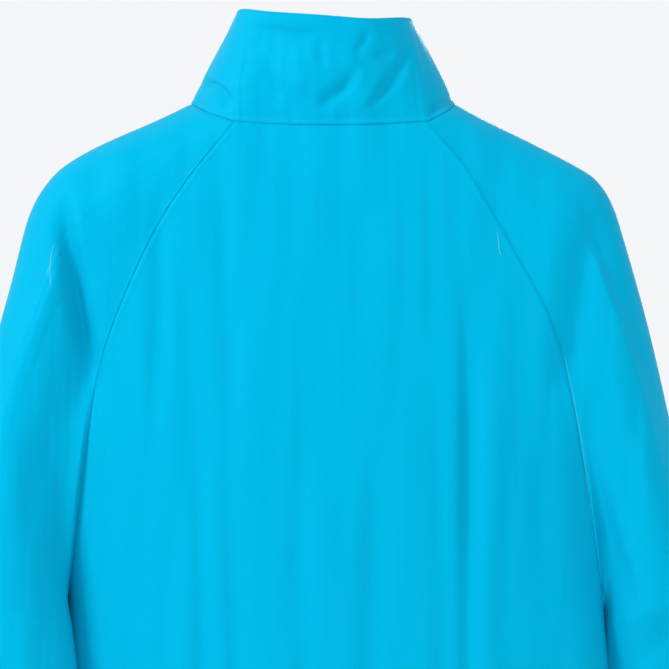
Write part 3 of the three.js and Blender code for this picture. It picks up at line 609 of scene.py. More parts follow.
def relief(points: Array, weight: Array) -> Array:
    """Moves cloth along Y by the folds of the side that it belongs to.

    Args:
        points: The smooth surface, in millimetres.
        weight: How fully each point follows, above 0 for the back and below 0 for the front.

    Returns:
        The moved points.
    """
    x, z = points[..., 0], points[..., 2]
    moved = points.copy()
    for face, pieces in RELIEF.items():
        own = np.clip(weight * face.sign, 0, 1) * face.sign
        if np.any(own):
            moved[..., 1] += own * sum(piece.lift(x, z) for piece in pieces)
    return moved


def groove(away: Array, depth: float, width: float) -> Array:
    """How deep the groove of a seam is at some distance from it.

    Args:
        away: The distance from the seam.
        depth: How deep it is in the middle.
        width: How far it spreads to each side.

    Returns:
        The depth at each distance.
    """
    return depth * np.exp(-((away / width) ** 2))


def puckers(t: Array, away: Array) -> Array:
    """The small puckers along a raglan seam and the groove of the seam itself.

    Args:
        t: The place along the seam, from 0 at the neck to 1 at the underarm.
        away: The distance from the seam, in millimetres.

    Returns:
        How far the cloth moves out, in millimetres.
    """
    along = SEAM_LENGTH * t
    wave = np.sin(2 * math.pi * (along / 17 + 0.6 * np.sin(along / 41)))
    wave = wave + 0.7 * np.sin(2 * math.pi * along / 11.3 + 1.1)
    pucker, pucker_reach = SEAM_PUCKER
    height, place, width = SEAM_ROLL
    near = pucker * wave * np.exp(-((away / pucker_reach) ** 2))
    roll = height * np.exp(-(((away - place) / width) ** 2))
    return near + roll - groove(away, *SEAM_GROOVE)


def valley(t: Array, away: Array, deep: float) -> Array:
    """How far a sleeve swells beside its low raglan seam, which leaves the seam in a valley.

    Args:
        t: The place along the seam, from 0 at the neck to 1 at the underarm.
        away: The distance from the seam, in millimetres.
        deep: The valley's depth, in millimetres.

    Returns:
        How far the cloth moves out, in millimetres.
    """
    rise = (1 - groove(away, 1, VALLEY_EDGE)) * groove(away, 1, VALLEY_REACH)
    return deep * ease(0.4, 0.72, t) * rise


def close_at_ends(count: int, pull: float = 0.6) -> Array:
    """Shares from 0 to 1 that lie closer together at both ends."""
    t = np.linspace(0, 1, count + 1)
    return t - pull * np.sin(2 * math.pi * t) / (2 * math.pi)


SEAM_SAMPLES = close_at_ends(112, 0.35)
SIDE_SAMPLES = np.linspace(0, 1, 73)[1:]
NECK_SAMPLES = close_at_ends(30, 0.5)


class Wire:
    """A shader socket that takes part in Python expressions."""

    def __init__(self, shader: "Shader", socket: bpy.types.NodeSocket) -> None:
        """Keeps the socket and the shader that it belongs to."""
        self.shader, self.socket = shader, socket

    def _with(self, operation: str, first: object, second: object) -> "Wire":
        """Adds one Math node and gives its result."""
        node = self.shader.node("ShaderNodeMath", {"operation": operation}, {0: first, 1: second})
        return Wire(self.shader, node.outputs[0])

    def __add__(self, other: object) -> "Wire":
        """Adds a number or a wire."""
        return self._with("ADD", self, other)

    def __sub__(self, other: object) -> "Wire":
        """Takes away a number or a wire."""
        return self._with("SUBTRACT", self, other)

    def __rsub__(self, other: object) -> "Wire":
        """Takes this wire away from a number."""
        return self._with("SUBTRACT", other, self)

    def __mul__(self, other: object) -> "Wire":
        """Multiplies by a number or a wire."""
        return self._with("MULTIPLY", self, other)

    __radd__ = __add__
    __rmul__ = __mul__

    def sine(self) -> "Wire":
        """The sine of this wire."""
        return self._with("SINE", self, 0.0)


class Shader:
    """A material's nodes round one Principled shader."""

    def __init__(self, name: str) -> None:
        """Starts a material that holds a Principled shader alone."""
        self.material = bpy.data.materials.new(name)
        self.material.use_nodes = True
        self.tree = self.material.node_tree
        self.tree.nodes.clear()
        self.surface = self.node("ShaderNodeBsdfPrincipled")
        self.node("ShaderNodeOutputMaterial", {}, {"Surface": self.surface.outputs[0]})
        place = self.node("ShaderNodeTexCoord").outputs["Object"]
        self.place = Wire(self, place)

    def node(
        self, kind: str, settings: dict | None = None, values: dict | None = None
    ) -> bpy.types.Node:
        """Adds a node.

        Args:
            kind: The node's type.
            settings: Properties of the node, set before its sockets.
            values: A number, colour, socket or wire for each named or numbered input.

        Returns:
            The new node.
        """
        node = self.tree.nodes.new(kind)
        for key, value in (settings or {}).items():
            setattr(node, key, value)
        for key, value in (values or {}).items():
            self.feed(node.inputs[key], value)
        return node

    def feed(self, socket: bpy.types.NodeSocket, value: object) -> None:
        """Links a wire or socket to an input, or sets its value."""
        if isinstance(value, Wire):
            value = value.socket
        if isinstance(value, bpy.types.NodeSocket):
            self.tree.links.new(value, socket)
        else:
            socket.default_value = value

    def noise(self, scale: float, detail: float, stretch: Sequence[float] = (1, 1, 1)) -> Wire:
        """Noise in the object's own metres.

        Args:
            scale: Lumps to a metre.
            detail: How many finer layers it has.
            stretch: How much closer together the lumps are along each axis.

        Returns:
            A number from 0 to 1.
        """
        spread = self.node("ShaderNodeMapping", {}, {"Vector": self.place, "Scale": stretch})
        values = {"Vector": spread.outputs[0], "Scale": scale, "Detail": detail}
        made = self.node("ShaderNodeTexNoise", {}, values)
        return Wire(self, made.outputs[0])

    def blend(self, amount: Wire, first: Sequence[float], second: Sequence[float]) -> Wire:
        """A colour between two, by a wire."""
        values = {0: amount, 6: (*first, 1), 7: (*second, 1)}
        made = self.node("ShaderNodeMix", {"data_type": "RGBA"}, values)
        return Wire(self, made.outputs[2])

    def bump(self, height: Wire, strength: float, distance: float) -> Wire:
        """A surface direction from a height.

        Args:
            height: The height, from 0 to 1.
            strength: How strongly it shows.
            distance: What a height of 1 stands for, in metres.

        Returns:
            The direction for the shader's Normal socket.
        """
        values = {"Strength": strength, "Distance": distance, "Height": height}
        return Wire(self, self.node("ShaderNodeBump", {}, values).outputs[0])

    def finish(self, **values: object) -> bpy.types.Material:
        """Sets the Principled sockets, whose names have underscores for spaces here."""
        for key, value in values.items():
            self.feed(self.surface.inputs[key.replace("_", " ")], value)
        return self.material


@dataclass(frozen=True)
class NylonFinish:
    """Thin plain-woven nylon with a faint sheen: its colour, gloss and the scale of its weave."""

    name: str
    colour: tuple[float, float, float]
    deep: tuple[float, float, float]
    rough: float = 0.5
    weave: float = 5200.0
    crinkle: float = 0.00035

    def material(self) -> bpy.types.Material:
        """The finish as a material."""
        shader = Shader(self.name)
        cloud = shader.noise(9, 2, (1, 1, 0.5))
        thread = shader.noise(900, 1, (1, 1, 0.35))
        colour = shader.blend(cloud * 0.7 + thread * 0.3, self.colour, self.deep)
        parts = shader.node("ShaderNodeSeparateXYZ", {}, {0: shader.place})
        x, z = Wire(shader, parts.outputs[0]), Wire(shader, parts.outputs[2])
        weave = (x * self.weave).sine() * (z * self.weave).sine()
        crinkle = shader.noise(150, 3, (1, 1, 0.7))
        height = crinkle * 0.8 + weave * 0.03 + thread * 0.1
        return shader.finish(
            Base_Color=colour,
            Roughness=self.rough + (cloud - 0.5) * 0.12,
            Specular_IOR_Level=0.1,
            Specular_Tint=(0.0, 0.75, 1.0, 1.0),
            Normal=shader.bump(height, 0.35, self.crinkle),
        )


@dataclass(frozen=True)
class TapeFinish:
    """Ribbed woven zip tape."""

    name: str
    colour: tuple[float, float, float]
    ribs: float = 4200.0

    def material(self) -> bpy.types.Material:
        """The finish as a material."""
        shader = Shader(self.name)
        grain = shader.noise(600, 2)
        parts = shader.node("ShaderNodeSeparateXYZ", {}, {0: shader.place})
        rib = (Wire(shader, parts.outputs[2]) * self.ribs).sine()
        darker = tuple(0.8 * part for part in self.colour)
        return shader.finish(
            Base_Color=shader.blend(grain, self.colour, darker),
            Roughness=0.7 + grain * 0.1,
            Normal=shader.bump(rib * 0.5 + grain * 0.4, 0.5, 0.0002),
        )


@dataclass(frozen=True)
class MouldedFinish:
    """Smooth moulded plastic or plated metal with faint handling marks."""

    name: str
    colour: tuple[float, float, float]
    rough: float
    metal: float = 0.0

    def material(self) -> bpy.types.Material:
        """The finish as a material."""
        shader = Shader(self.name)
        marks = shader.noise(120, 4)
        darker = tuple(0.88 * part for part in self.colour)
        return shader.finish(
            Base_Color=shader.blend(marks, self.colour, darker),
            Metallic=self.metal,
            Roughness=self.rough + marks * 0.12,
            Normal=shader.bump(marks, 0.15, 0.0001),
        )


NYLON = NylonFinish("nylon", (0.0003, 0.315, 0.505), (0.0003, 0.295, 0.48))
BAND_NYLON = NylonFinish("nylon_band", (0.0004, 0.295, 0.48), (0.0004, 0.275, 0.455))
TAPE = TapeFinish("zip_tape", (0.0012, 0.36, 0.6))
THREAD = TapeFinish("thread", (0.002, 0.42, 0.68), 9000.0)
# Pale colour of the painted highlight lines on the back.
PAINTED_HIGHLIGHT = TapeFinish("frayed_thread", (0.1, 0.5, 0.62), 9000.0)
TEETH = MouldedFinish("zip_teeth_plastic", (0.002, 0.33, 0.56), 0.35)
NICKEL = MouldedFinish("zip_metal", (0.66, 0.67, 0.68), 0.22, 1.0)
PLASTIC = MouldedFinish("hanger_plastic", (0.74, 0.75, 0.76), 0.32)
FLOOR = MouldedFinish("pale_floor", (0.86, 0.87, 0.88), 0.6)


def mesh_object(
    name: str, points: Array, faces: Sequence[Sequence[int]], sharp: float = 50
) -> bpy.types.Object:
    """Makes a mesh object from points in millimetres.

    Args:
        name: The piece's name.
        points: Its points.
        faces: The corners of each face.
        sharp: The angle in degrees above which an edge stays sharp.

    Returns:
        The object, linked to the scene.
    """
    mesh = bpy.data.meshes.new(name)
    mesh.from_pydata((np.asarray(points).reshape(-1, 3) * MM).tolist(), [], faces)
    mesh.polygons.foreach_set("use_smooth", [True] * len(mesh.polygons))
    mesh.set_sharp_from_angle(angle=math.radians(sharp))
    mesh.update()
    made = bpy.data.objects.new(name, mesh)
    bpy.context.scene.collection.objects.link(made)
    return made


def dressed(
    piece: bpy.types.Object, material: bpy.types.Material
) -> bpy.types.Object:
    """Gives a piece of the jacket its material and its slot, and lets it ride on the jacket."""
    piece.data.materials.append(material)
    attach(piece, "jacket")
    return piece


class ClothGrid:
    """Cloth as a grid of points on its outside, in millimetres."""

    def __init__(self, name: str, points: Array, closed: bool = False) -> None:
        """Keeps the grid, whose rows close on themselves if it is closed."""
        self.name, self.points, self.closed = name, points, closed

    def normals(self) -> Array:
        """The outward directions at the points."""
        if self.closed:
            across = np.roll(self.points, -1, 1) - np.roll(self.points, 1, 1)
        else:
            across = np.gradient(self.points, axis=1)
        return unit(np.cross(across, np.gradient(self.points, axis=0)))

    def area(self) -> float:
        """The outside's area in square metres."""
        points = self.points
        if self.closed:
            points = np.concatenate([points, points[:, :1]], 1)
        a = points[1:, 1:] - points[:-1, :-1]
        b = points[1:, :-1] - points[:-1, 1:]
        return float(np.linalg.norm(np.cross(a, b), axis=-1).sum() / 2 * MM * MM)

    def _pulled_in(self, points: Array, gap: float) -> Array:
        """Draws the free edges back by the seam's gap."""
        moved = points.copy()
        moved[0] += gap * unit(points[1] - points[0])
        moved[-1] += gap * unit(points[-2] - points[-1])
        if not self.closed:
            moved[:, 0] += gap * unit(points[:, 1] - points[:, 0])
            moved[:, -1] += gap * unit(points[:, -2] - points[:, -1])
        return moved

    def shell(self, wall: float, gap: float = SEAM_INSET) -> bpy.types.Object:
        """Closes the grid into a thin shell.

        Args:
            wall: The cloth's thickness.
            gap: How far its edges stay back from the seams.

        Returns:
            The new piece.
        """
        outer = self._pulled_in(self.points, gap)
        inner = self._pulled_in(self.points - wall * self.normals(), gap)
        rows, width = self.points.shape[:2]
        columns = width if self.closed else width - 1
        i, j = np.meshgrid(np.arange(rows - 1), np.arange(columns), indexing="ij")

        def at(row: Array, column: Array, layer: int) -> Array:
            """The number of a point of the outer or inner layer."""
            return layer * rows * width + row * width + column % width

        faces = [
            np.stack([at(i, j, 0), at(i, j + 1, 0), at(i + 1, j + 1, 0), at(i + 1, j, 0)], -1),
            np.stack([at(i, j, 1), at(i + 1, j, 1), at(i + 1, j + 1, 1), at(i, j + 1, 1)], -1),
        ]
        k, last = np.arange(columns), np.full(columns, rows - 1)
        top = 0 * k
        faces.append(np.stack([at(top, k + 1, 0), at(top, k, 0), at(top, k, 1), at(top, k + 1, 1)], -1))
        faces.append(
            np.stack([at(last, k, 0), at(last, k + 1, 0), at(last, k + 1, 1), at(last, k, 1)], -1)
        )
        if not self.closed:
            r, end = np.arange(rows - 1), np.full(rows - 1, columns)
            left = 0 * r
            faces.append(
                np.stack([at(r, left, 0), at(r + 1, left, 0), at(r + 1, left, 1), at(r, left, 1)], -1)
            )
            faces.append(
                np.stack([at(r + 1, end, 0), at(r, end, 0), at(r, end, 1), at(r + 1, end, 1)], -1)
            )
        corners = np.concatenate([part.reshape(-1, 4) for part in faces])
        points = np.concatenate([outer.reshape(-1, 3), inner.reshape(-1, 3)])
        return mesh_object(self.name, points, corners.tolist())


def body_weight(share: Array) -> Array:
    """How fully the body's cloth follows the folds, from none at the side to all in the middle."""
    return np.clip(1.5 * (1 - np.abs(share) ** 4), 0, 1)


def hem_wave(turn: Array, height: Array) -> Array:
    """The broad gathers above the hem band."""
    rise = ease(HEM_SEAM + HEM_WAVE_RISE, HEM_SEAM, height)
    return HEM_WAVE_DEPTH * rise * np.cos(2 * math.pi * turn)


@dataclass
class BodyPanels:
    """The back and the two fronts, from the neck and raglan seams down to the hem seam."""

    back_columns: int = 172
    front_columns: int = 88
    zip_calm: float = 26.0

    def _rows(self) -> Array:
        """The row places of every body panel, which meet the sleeves' places on the seams."""
        return np.concatenate([SEAM_UNITS * SEAM_SAMPLES, SEAM_UNITS + SIDE_UNITS * SIDE_SAMPLES])

    def _edge(self, face: Face, side: Side, rows: Array) -> tuple[Array, Array, Array, Array]:
        """A panel's outer edge.

        Args:
            face: The back or the front.
            side: The wearer's left or right.
            rows: The row places.

        Returns:
            Signed x and height of the edge, its share across the body, and whether it is low.
        """
        low = rows > SEAM_UNITS
        x, height = SEAMS[face, side](rows / SEAM_UNITS)
        side_height = mix(UNDERARM, HEM_SEAM, (rows - SEAM_UNITS) / SIDE_UNITS)
        height = np.where(low, side_height, height)
        far = np.where(low, 1.0, np.abs(TORSO.share(side.value * x, height)))
        return side.value * x, height, far, low

    def back(self) -> ClothGrid:
        """The back panel, row by row from the wearer's right to the left."""
        rows = self._rows()[:, None]
        u = (2 * close_at_ends(self.back_columns, 0.4) - 1)[None, :]
        _, left_height, left_far, low = self._edge(Face.BACK, Side.LEFT, rows)
        _, right_height, right_far, _ = self._edge(Face.BACK, Side.RIGHT, rows)
        middle = (left_height + right_height) / 2 - NECK_DIP * (1 - ease(0, 5, rows)) * ~low
        height = mix(middle, np.where(u > 0, left_height, right_height), np.where(low, 0, u * u))
        far = np.where(u > 0, left_far, right_far)
        share = np.sin(np.abs(u) * np.arcsin(far)) * np.sign(u)
        smooth = TORSO.point(share, height, Face.BACK)
        smooth[..., 1] += hem_wave(HEM_GATHERS * (u + 1) / 2, height)
        points = relief(smooth, body_weight(share))
        gather = HEM_GATHER[Face.BACK].lift(smooth[..., 0], height - HEM_SEAM)
        points[..., 1] += gather * body_weight(share)
        t = np.clip(rows / SEAM_UNITS, 0, 1)
        for edge in (0, -1):
            away = np.linalg.norm(smooth - smooth[:, [edge]], axis=-1)
            points[..., 1] += puckers(t, away) * body_weight(share)
        away = np.linalg.norm(smooth - smooth[[0]], axis=-1)
        points[..., 1] -= groove(away, *NECK_GROOVE)
        return ClothGrid("back", points)

    def front(self, side: Side) -> ClothGrid:
        """One front panel.

        Args:
            side: The wearer's left or right.

        Returns:
            The panel, whose rows run towards the wearer's right.
        """
        rows = self._rows()[:, None]
        u = close_at_ends(self.front_columns, 0.4)[None, :]
        _, edge_height, far, low = self._edge(Face.FRONT, side, rows)
        top = SEAMS[Face.FRONT, side].top
        fall = np.where(low, 1.0, (edge_height - top) / (UNDERARM - top))
        zip_height = np.where(low, edge_height, mix(FRONT_NECK, UNDERARM, fall))
        near = np.abs(TORSO.share(side.value * ZIP_EDGE, zip_height))
        share = np.sin(mix(np.arcsin(near), np.arcsin(far), u))
        rise = np.maximum(0, (share - near) / (far - near)) ** 1.6
        height = mix(zip_height, edge_height, rise)
        smooth = TORSO.point(side.value * share, height, Face.FRONT)
        wave = hem_wave(0.5 + HEM_GATHERS * u / 2, height) * ease(0, 0.2, u)
        smooth[..., 1] -= wave
        calm = ease(0, self.zip_calm, np.abs(smooth[..., 0]) - ZIP_EDGE)
        weight = body_weight(share)
        points = relief(smooth, -weight * calm)
        gather = HEM_GATHER[Face.FRONT].lift(smooth[..., 0], height - HEM_SEAM)
        points[..., 1] -= gather * weight * calm
        t = np.clip(rows / SEAM_UNITS, 0, 1)
        away = np.linalg.norm(smooth - smooth[:, [-1]], axis=-1)
        points[..., 1] -= puckers(t, away) * weight * calm
        away = np.linalg.norm(smooth - smooth[[0]], axis=-1)
        points[..., 1] += groove(away, *NECK_GROOVE) * calm
        if side is Side.LEFT:
            points = points[:, ::-1]
        return ClothGrid("front_" + side.name.lower(), points)


def centripetal(points: Array, t: Array) -> Array:
    """A smooth curve through a few points.

    Args:
        points: The points that it goes through.
        t: Places from 0 at the first to 1 at the last.

    Returns:
        One point for each place.
    """
    count = len(points)
    padded = np.concatenate([[2 * points[0] - points[1]], points, [2 * points[-1] - points[-2]]])
    at = np.clip(t, 0, 1) * (count - 1)
    i = np.clip(at.astype(int), 0, count - 2)
    w = (at - i)[:, None]
    a, b, c, d = (padded[i + k] for k in range(4))
    before, step, after = (
        np.linalg.norm(q - p, axis=1)[:, None] ** 0.5 for p, q in ((a, b), (b, c), (c, d))
    )
    start = ((b - a) / before - (c - a) / (before + step) + (c - b) / step) * step
    end = ((c - b) / step - (d - b) / (step + after) + (d - c) / after) * step
    cube = 2 * b - 2 * c + start + end
    square = -3 * b + 3 * c - 2 * start - end
    return b + start * w + square * w**2 + cube * w**3


@dataclass
class RaglanSleeve:
    """One sleeve: from its raglan seams and the neck seam over the shoulder to the cuff seam."""

    side: Side
    shoulder_rows: int = 112
    arm_rows: int = 60
    arm_length: float = 300.0
    cuff_gather: Gathers = Gathers(26, (0, AROUND), (0.28, 0.5), 1.3, (16, 60), 31)

    def __post_init__(self) -> None:
        """Picks this side's tables."""
        left = self.side is Side.LEFT
        rows = ARM_LEFT if left else ARM_RIGHT
        self.arm = Curve([(k / (len(rows) - 1), *row) for k, row in enumerate(rows)])
        outline = np.array(OUTLINE_LEFT if left else OUTLINE_RIGHT, float)
        self.outline = Curve(np.column_stack([shares_of(outline), outline]))
        self.neck = np.array(NECK_LEFT if left else NECK_RIGHT, float)

    def _ring(self) -> Array:
        """The places round the sleeve: 0 at the underarm, past the back, the neck and the front."""
        back = SEAM_UNITS * (1 - SEAM_SAMPLES[::-1])
        neck = SEAM_UNITS + NECK_UNITS * NECK_SAMPLES[1:]
        front = SEAM_UNITS + NECK_UNITS + SEAM_UNITS * SEAM_SAMPLES[1:-1]
        return np.concatenate([back, neck, front])

    def _armhole(self, ring: Array) -> tuple[Array, Array, Array]:
        """The sleeve's sewn edge.

        Args:
            ring: Places round the sleeve.

        Returns:
            The points, how far down each is and how fully it follows the body's folds.
        """
        sign = self.side.value
        fall = np.where(
            ring < SEAM_UNITS,
            1 - ring / SEAM_UNITS,
            np.clip((ring - SEAM_UNITS - NECK_UNITS) / SEAM_UNITS, 0, 1),
        )
        lines = {}
        shares = {}
        for face in Face:
            x, height = SEAMS[face, self.side](fall)
            shares[face] = np.abs(TORSO.share(sign * x, height))
            lines[face] = TORSO.point(sign * shares[face], height, face)
        middle = (ring - SEAM_UNITS) / NECK_UNITS
        k = int(np.argmin(np.abs(ring - SEAM_UNITS)))
        m = int(np.argmin(np.abs(ring - SEAM_UNITS - NECK_UNITS)))
        over = self.neck[::-1] * (sign, 1, 1)
        neck = centripetal(np.array([lines[Face.BACK][k], *over, lines[Face.FRONT][m]]), middle)
        is_back, is_neck = (ring <= SEAM_UNITS)[:, None], ((middle > 0) & (middle < 1))[:, None]
        points = np.where(is_neck, neck, np.where(is_back, lines[Face.BACK], lines[Face.FRONT]))
        weight = np.where(
            is_back[:, 0], body_weight(shares[Face.BACK]), -body_weight(shares[Face.FRONT])
        )
        start, end = body_weight(shares[Face.BACK][k]), -body_weight(shares[Face.FRONT][m])
        weight = np.where(is_neck[:, 0], mix(start, end, ease(0, 1, middle)), weight)
        return points, fall, weight

    def _leaving(self, edge: Array, fall: Array) -> Array:
        """The directions in which the cloth leaves the sewn edge."""
        sign = self.side.value
        slant = np.radians(mix(26.6, 78, fall**0.8))
        x, height = np.cos(slant), -np.sin(slant)
        near = np.abs(TORSO.share(edge[:, 0], edge[:, 2]))
        after = np.abs(TORSO.share(edge[:, 0] + sign * x, edge[:, 2] + height))
        steep = {}
        for face in Face:
            a = TORSO.point(sign * np.minimum(near, 0.97), edge[:, 2], face)
            b = TORSO.point(sign * np.minimum(after, 0.975), edge[:, 2] + height, face)
            steep[face] = np.clip(b[:, 1] - a[:, 1], -0.9, 0.9)
        y = np.where(edge[:, 1] > 0, steep[Face.BACK], steep[Face.FRONT])
        y = y * (1 - fall) * np.clip(fall * SEAM_UNITS, 0, 1)
        return unit(np.stack([sign * x, y, height], -1))

    def _section(self, at: float, ring: Array) -> tuple[Array, Array]:
        """One section of the arm.

        Args:
            at: How far down the arm, from 0 to 1.
            ring: Places round the sleeve.

        Returns:
            The points and the section's centre.
        """
        inner, inner_height, outer, outer_height, middle, deep = self.arm(at)
        a = 2 * math.pi * ring / AROUND
        along = (1 - np.cos(a)) / 2
        sign = self.side.value
        x, z = sign * mix(inner, outer, along), mix(inner_height, outer_height, along)
        points = np.stack([x, middle + deep * np.sin(a), z], -1)
        centre = (sign * (inner + outer) / 2, middle, (inner_height + outer_height) / 2)
        return points, np.array(centre)

    def _shoulder(self, ring: Array, edge: Array, fall: Array) -> Array:
        """The smooth cloth from the sewn edge to the top of the arm.

        Args:
            ring: Places round the sleeve.
            edge: The sewn edge's points.
            fall: How far down each of them is.

        Returns:
            Rows of points.
        """
        sign = self.side.value
        end, _ = self._section(0, ring)
        after, _ = self._section(0.04, ring)
        beyond = unit((after - end) * (1, 0, 1))
        start = self._leaving(edge, fall)
        reach = np.linalg.norm(end - edge, axis=1) * mix(1, 1.25, (1 - fall) ** 2)
        t = close_at_ends(self.shoulder_rows, 0.3)[:, None, None]
        flat = 1 - t
        grid = (
            edge * (1 + 2 * t) * flat**2
            + end * (3 - 2 * t) * t**2
            + start * reach[:, None] * t * flat**2
            - beyond * reach[:, None] * t**2 * flat
        )
        top = int(np.argmin(np.abs(ring - AROUND / 2)))
        target = self.outline(shares_of(grid[:, top]))
        x = sign * target[:, 0] - grid[:, top, 0]
        z = target[:, 1] - grid[:, top, 2]
        x[[0, -1]] = z[[0, -1]] = 0
        bow = np.sin(math.pi * t[:, 0]) ** 0.6
        near = ((1 - np.cos(2 * math.pi * ring / AROUND)) / 2)[None, :] ** 1.5
        ridge = Curve(RIDGE)(np.abs(ring - AROUND / 2))[None, :, 0]
        grid[..., 0] += x[:, None] * near + sign * 0.45 * bow * ridge
        grid[..., 2] += z[:, None] * near + bow * ridge
        return grid

    def cloth(self) -> ClothGrid:
        """The sleeve with its folds, gathers and puckers."""
        ring = self._ring()
        edge, fall, weight = self._armhole(ring)
        shoulder = self._shoulder(ring, edge, fall)
        angle = 2 * math.pi * ring / AROUND
        around = np.clip(1.6 * np.sin(angle), -1, 1)
        rows, outs = [], []
        for at in np.linspace(0, 1, self.arm_rows + 1)[1:]:
            points, centre = self._section(at, ring)
            out = unit(points - centre)
            wave = CUFF_WAVE_DEPTH * ease(CUFF_WAVE_START, 1, at) * np.cos(SLEEVE_GATHERS * angle)
            rise = (1 - at) * self.arm_length
            gather = self.cuff_gather.lift(ring, np.full(ring.shape, rise))
            gather *= np.minimum(1, 4 * np.minimum(ring, AROUND - ring) / AROUND)
            rows.append(points + out * (wave + gather)[:, None])
            outs.append(out)
        smooth = np.concatenate([shoulder, np.array(rows)])
        down = np.linspace(0, SHOULDER_UNITS, self.shoulder_rows + 1)
        turn = ease(0, 4, down)[:, None]
        weights = np.concatenate(
            [mix(weight[None, :], around[None, :], turn), np.tile(around, (self.arm_rows, 1))]
        )
        points = relief(smooth, weights)
        away = np.linalg.norm(smooth - smooth[[0]], axis=-1)
        points[..., 1] += puckers(fall[None, :], away) * weights
        deep = VALLEY_DEPTHS[0 if self.side is Side.LEFT else 1]
        points[..., 1] += valley(fall[None, :], away, deep) * np.clip(3 * np.sin(angle), -1, 1)
        neck = (ring >= SEAM_UNITS) & (ring <= SEAM_UNITS + NECK_UNITS)
        points[..., 2] -= groove(away, 0.5, NECK_GROOVE[1]) * neck[None, :]
        if self.side is Side.RIGHT:
            points = np.concatenate([points[:, :1], points[:, :0:-1]], 1)
        return ClothGrid("sleeve_" + self.side.name.lower(), points, True)

    def neck_columns(self) -> slice:
        """The columns of the sewn edge that lie on the neck seam, in this sleeve's own order."""
        first = len(SEAM_SAMPLES) - 1
        last = first + len(NECK_SAMPLES) - 1
        if self.side is Side.LEFT:
            return slice(first, last + 1)
        count = len(self._ring())
        return slice(count - last, count - first + 1)


def rib(share: Array, count: int, shift: float) -> Array:
    """Uneven upright ribs of shirred elastic.

    Args:
        share: The share of the way round.
        count: How many ribs there are.
        shift: Sets where the uneven ones lie.

    Returns:
        The ribs' height, from -1 to 1.
    """
    turn = 2 * math.pi * share
    uneven = 1.1 * np.sin(3 * turn + shift) + 0.7 * np.sin(7 * turn + 2 * shift)
    return np.sin(count * turn + uneven) * (0.75 + 0.25 * np.sin(5 * turn + shift))


def shirred(share: Array, t: Array, count: int, shift: float, rows: Sequence[float]) -> Array:
    """The relief of an elastic band: ribs that the rows of stitching pinch.

    Args:
        share: The share of the way round.
        t: The share of the way across the band.
        count: How many ribs there are.
        shift: Sets where the uneven ones lie.
        rows: Where the rows of stitching lie across the band.

    Returns:
        How far the cloth moves out, in millimetres.
    """
    pinch = sum(np.exp(-(((t - row) / 0.035) ** 2)) for row in rows)
    swell = sum(np.exp(-(((t - (a + b) / 2) / 0.12) ** 2)) for a, b in zip(rows, rows[1:]))
    calm = ease(0, 0.05, t) * ease(0, 0.05, 1 - t)
    return calm * (0.75 * rib(share, count, shift) * (1 - 0.55 * pinch) + 0.5 * swell - 0.5 * pinch)


BAND_STITCH_ROWS = (0.12, 0.37, 0.63, 0.88)
CUFF_STITCH_ROWS = (0.1, 0.36, 0.63, 0.9)


@dataclass
class ElasticCuff:
    """A shirred elastic cuff that carries on from its sleeve."""

    sleeve: ClothGrid
    rows: int = 26
    ribs: int = 34

    def cloth(self) -> ClothGrid:
        """The cuff's cloth."""
        last = self.sleeve.points[-1]
        centre = last.mean(0)
        sign = math.copysign(1, centre[0])
        down = unit(np.array([sign * 0.17, 0, -0.985]))
        t = np.linspace(0, 1, self.rows + 1)[:, None]
        out = last - centre
        share = np.linspace(0, 1, len(last), endpoint=False)[None, :]
        lift = shirred(share, t, self.ribs, 0.7 * sign, CUFF_STITCH_ROWS)
        waist = -0.06 * np.sin(math.pi * np.minimum(1, t * 1.2))
        points = last + out * waist[..., None] + unit(out) * lift[..., None]
        points = points + down * (CUFF_LENGTH * t)[..., None]
        return ClothGrid(self.sleeve.name.replace("sleeve", "cuff"), points, True)


@dataclass
class ElasticHem:
    """The shirred elastic band round the bottom of the body."""

    seam: Array
    columns: int = 460
    rows: int = 26
    ribs: int = 112

    def cloth(self) -> ClothGrid:
        """The band's cloth, from its lower edge up to the hem seam."""
        share = np.linspace(0, 1, self.columns + 1)
        line = resampled(self.seam, share)
        t = np.linspace(0, 1, self.rows + 1)[:, None]
        low, high = TORSO.curve(HEM_END), TORSO.curve(HEM_SEAM)
        wide = np.where(line[:, 0] > 0, low[0] / high[0], low[1] / high[1])
        wide = np.where(np.abs(line[:, 0]) < ZIP_EDGE + 0.5, 1.0, wide)
        deep = np.where(line[:, 1] > 0, low[2] / high[2], low[3] / high[3])
        full = 1 + 0.02 * np.sin(math.pi * t)
        x = line[:, 0] * mix(wide, 1, t) * np.where(wide == 1, 1, full)
        y = line[:, 1] * mix(deep, 1, t) * full
        z = mix(HEM_END, HEM_SEAM, t) + 0 * x
        smooth = ClothGrid("hem_band", np.stack([x, y, z], -1))
        calm = ease(0, 0.02, np.minimum(share, 1 - share))[None, :]
        lift = shirred(share[None, :], t, self.ribs, 1.9, BAND_STITCH_ROWS) * calm
        smooth.points = smooth.points + smooth.normals() * lift[..., None]
        return smooth


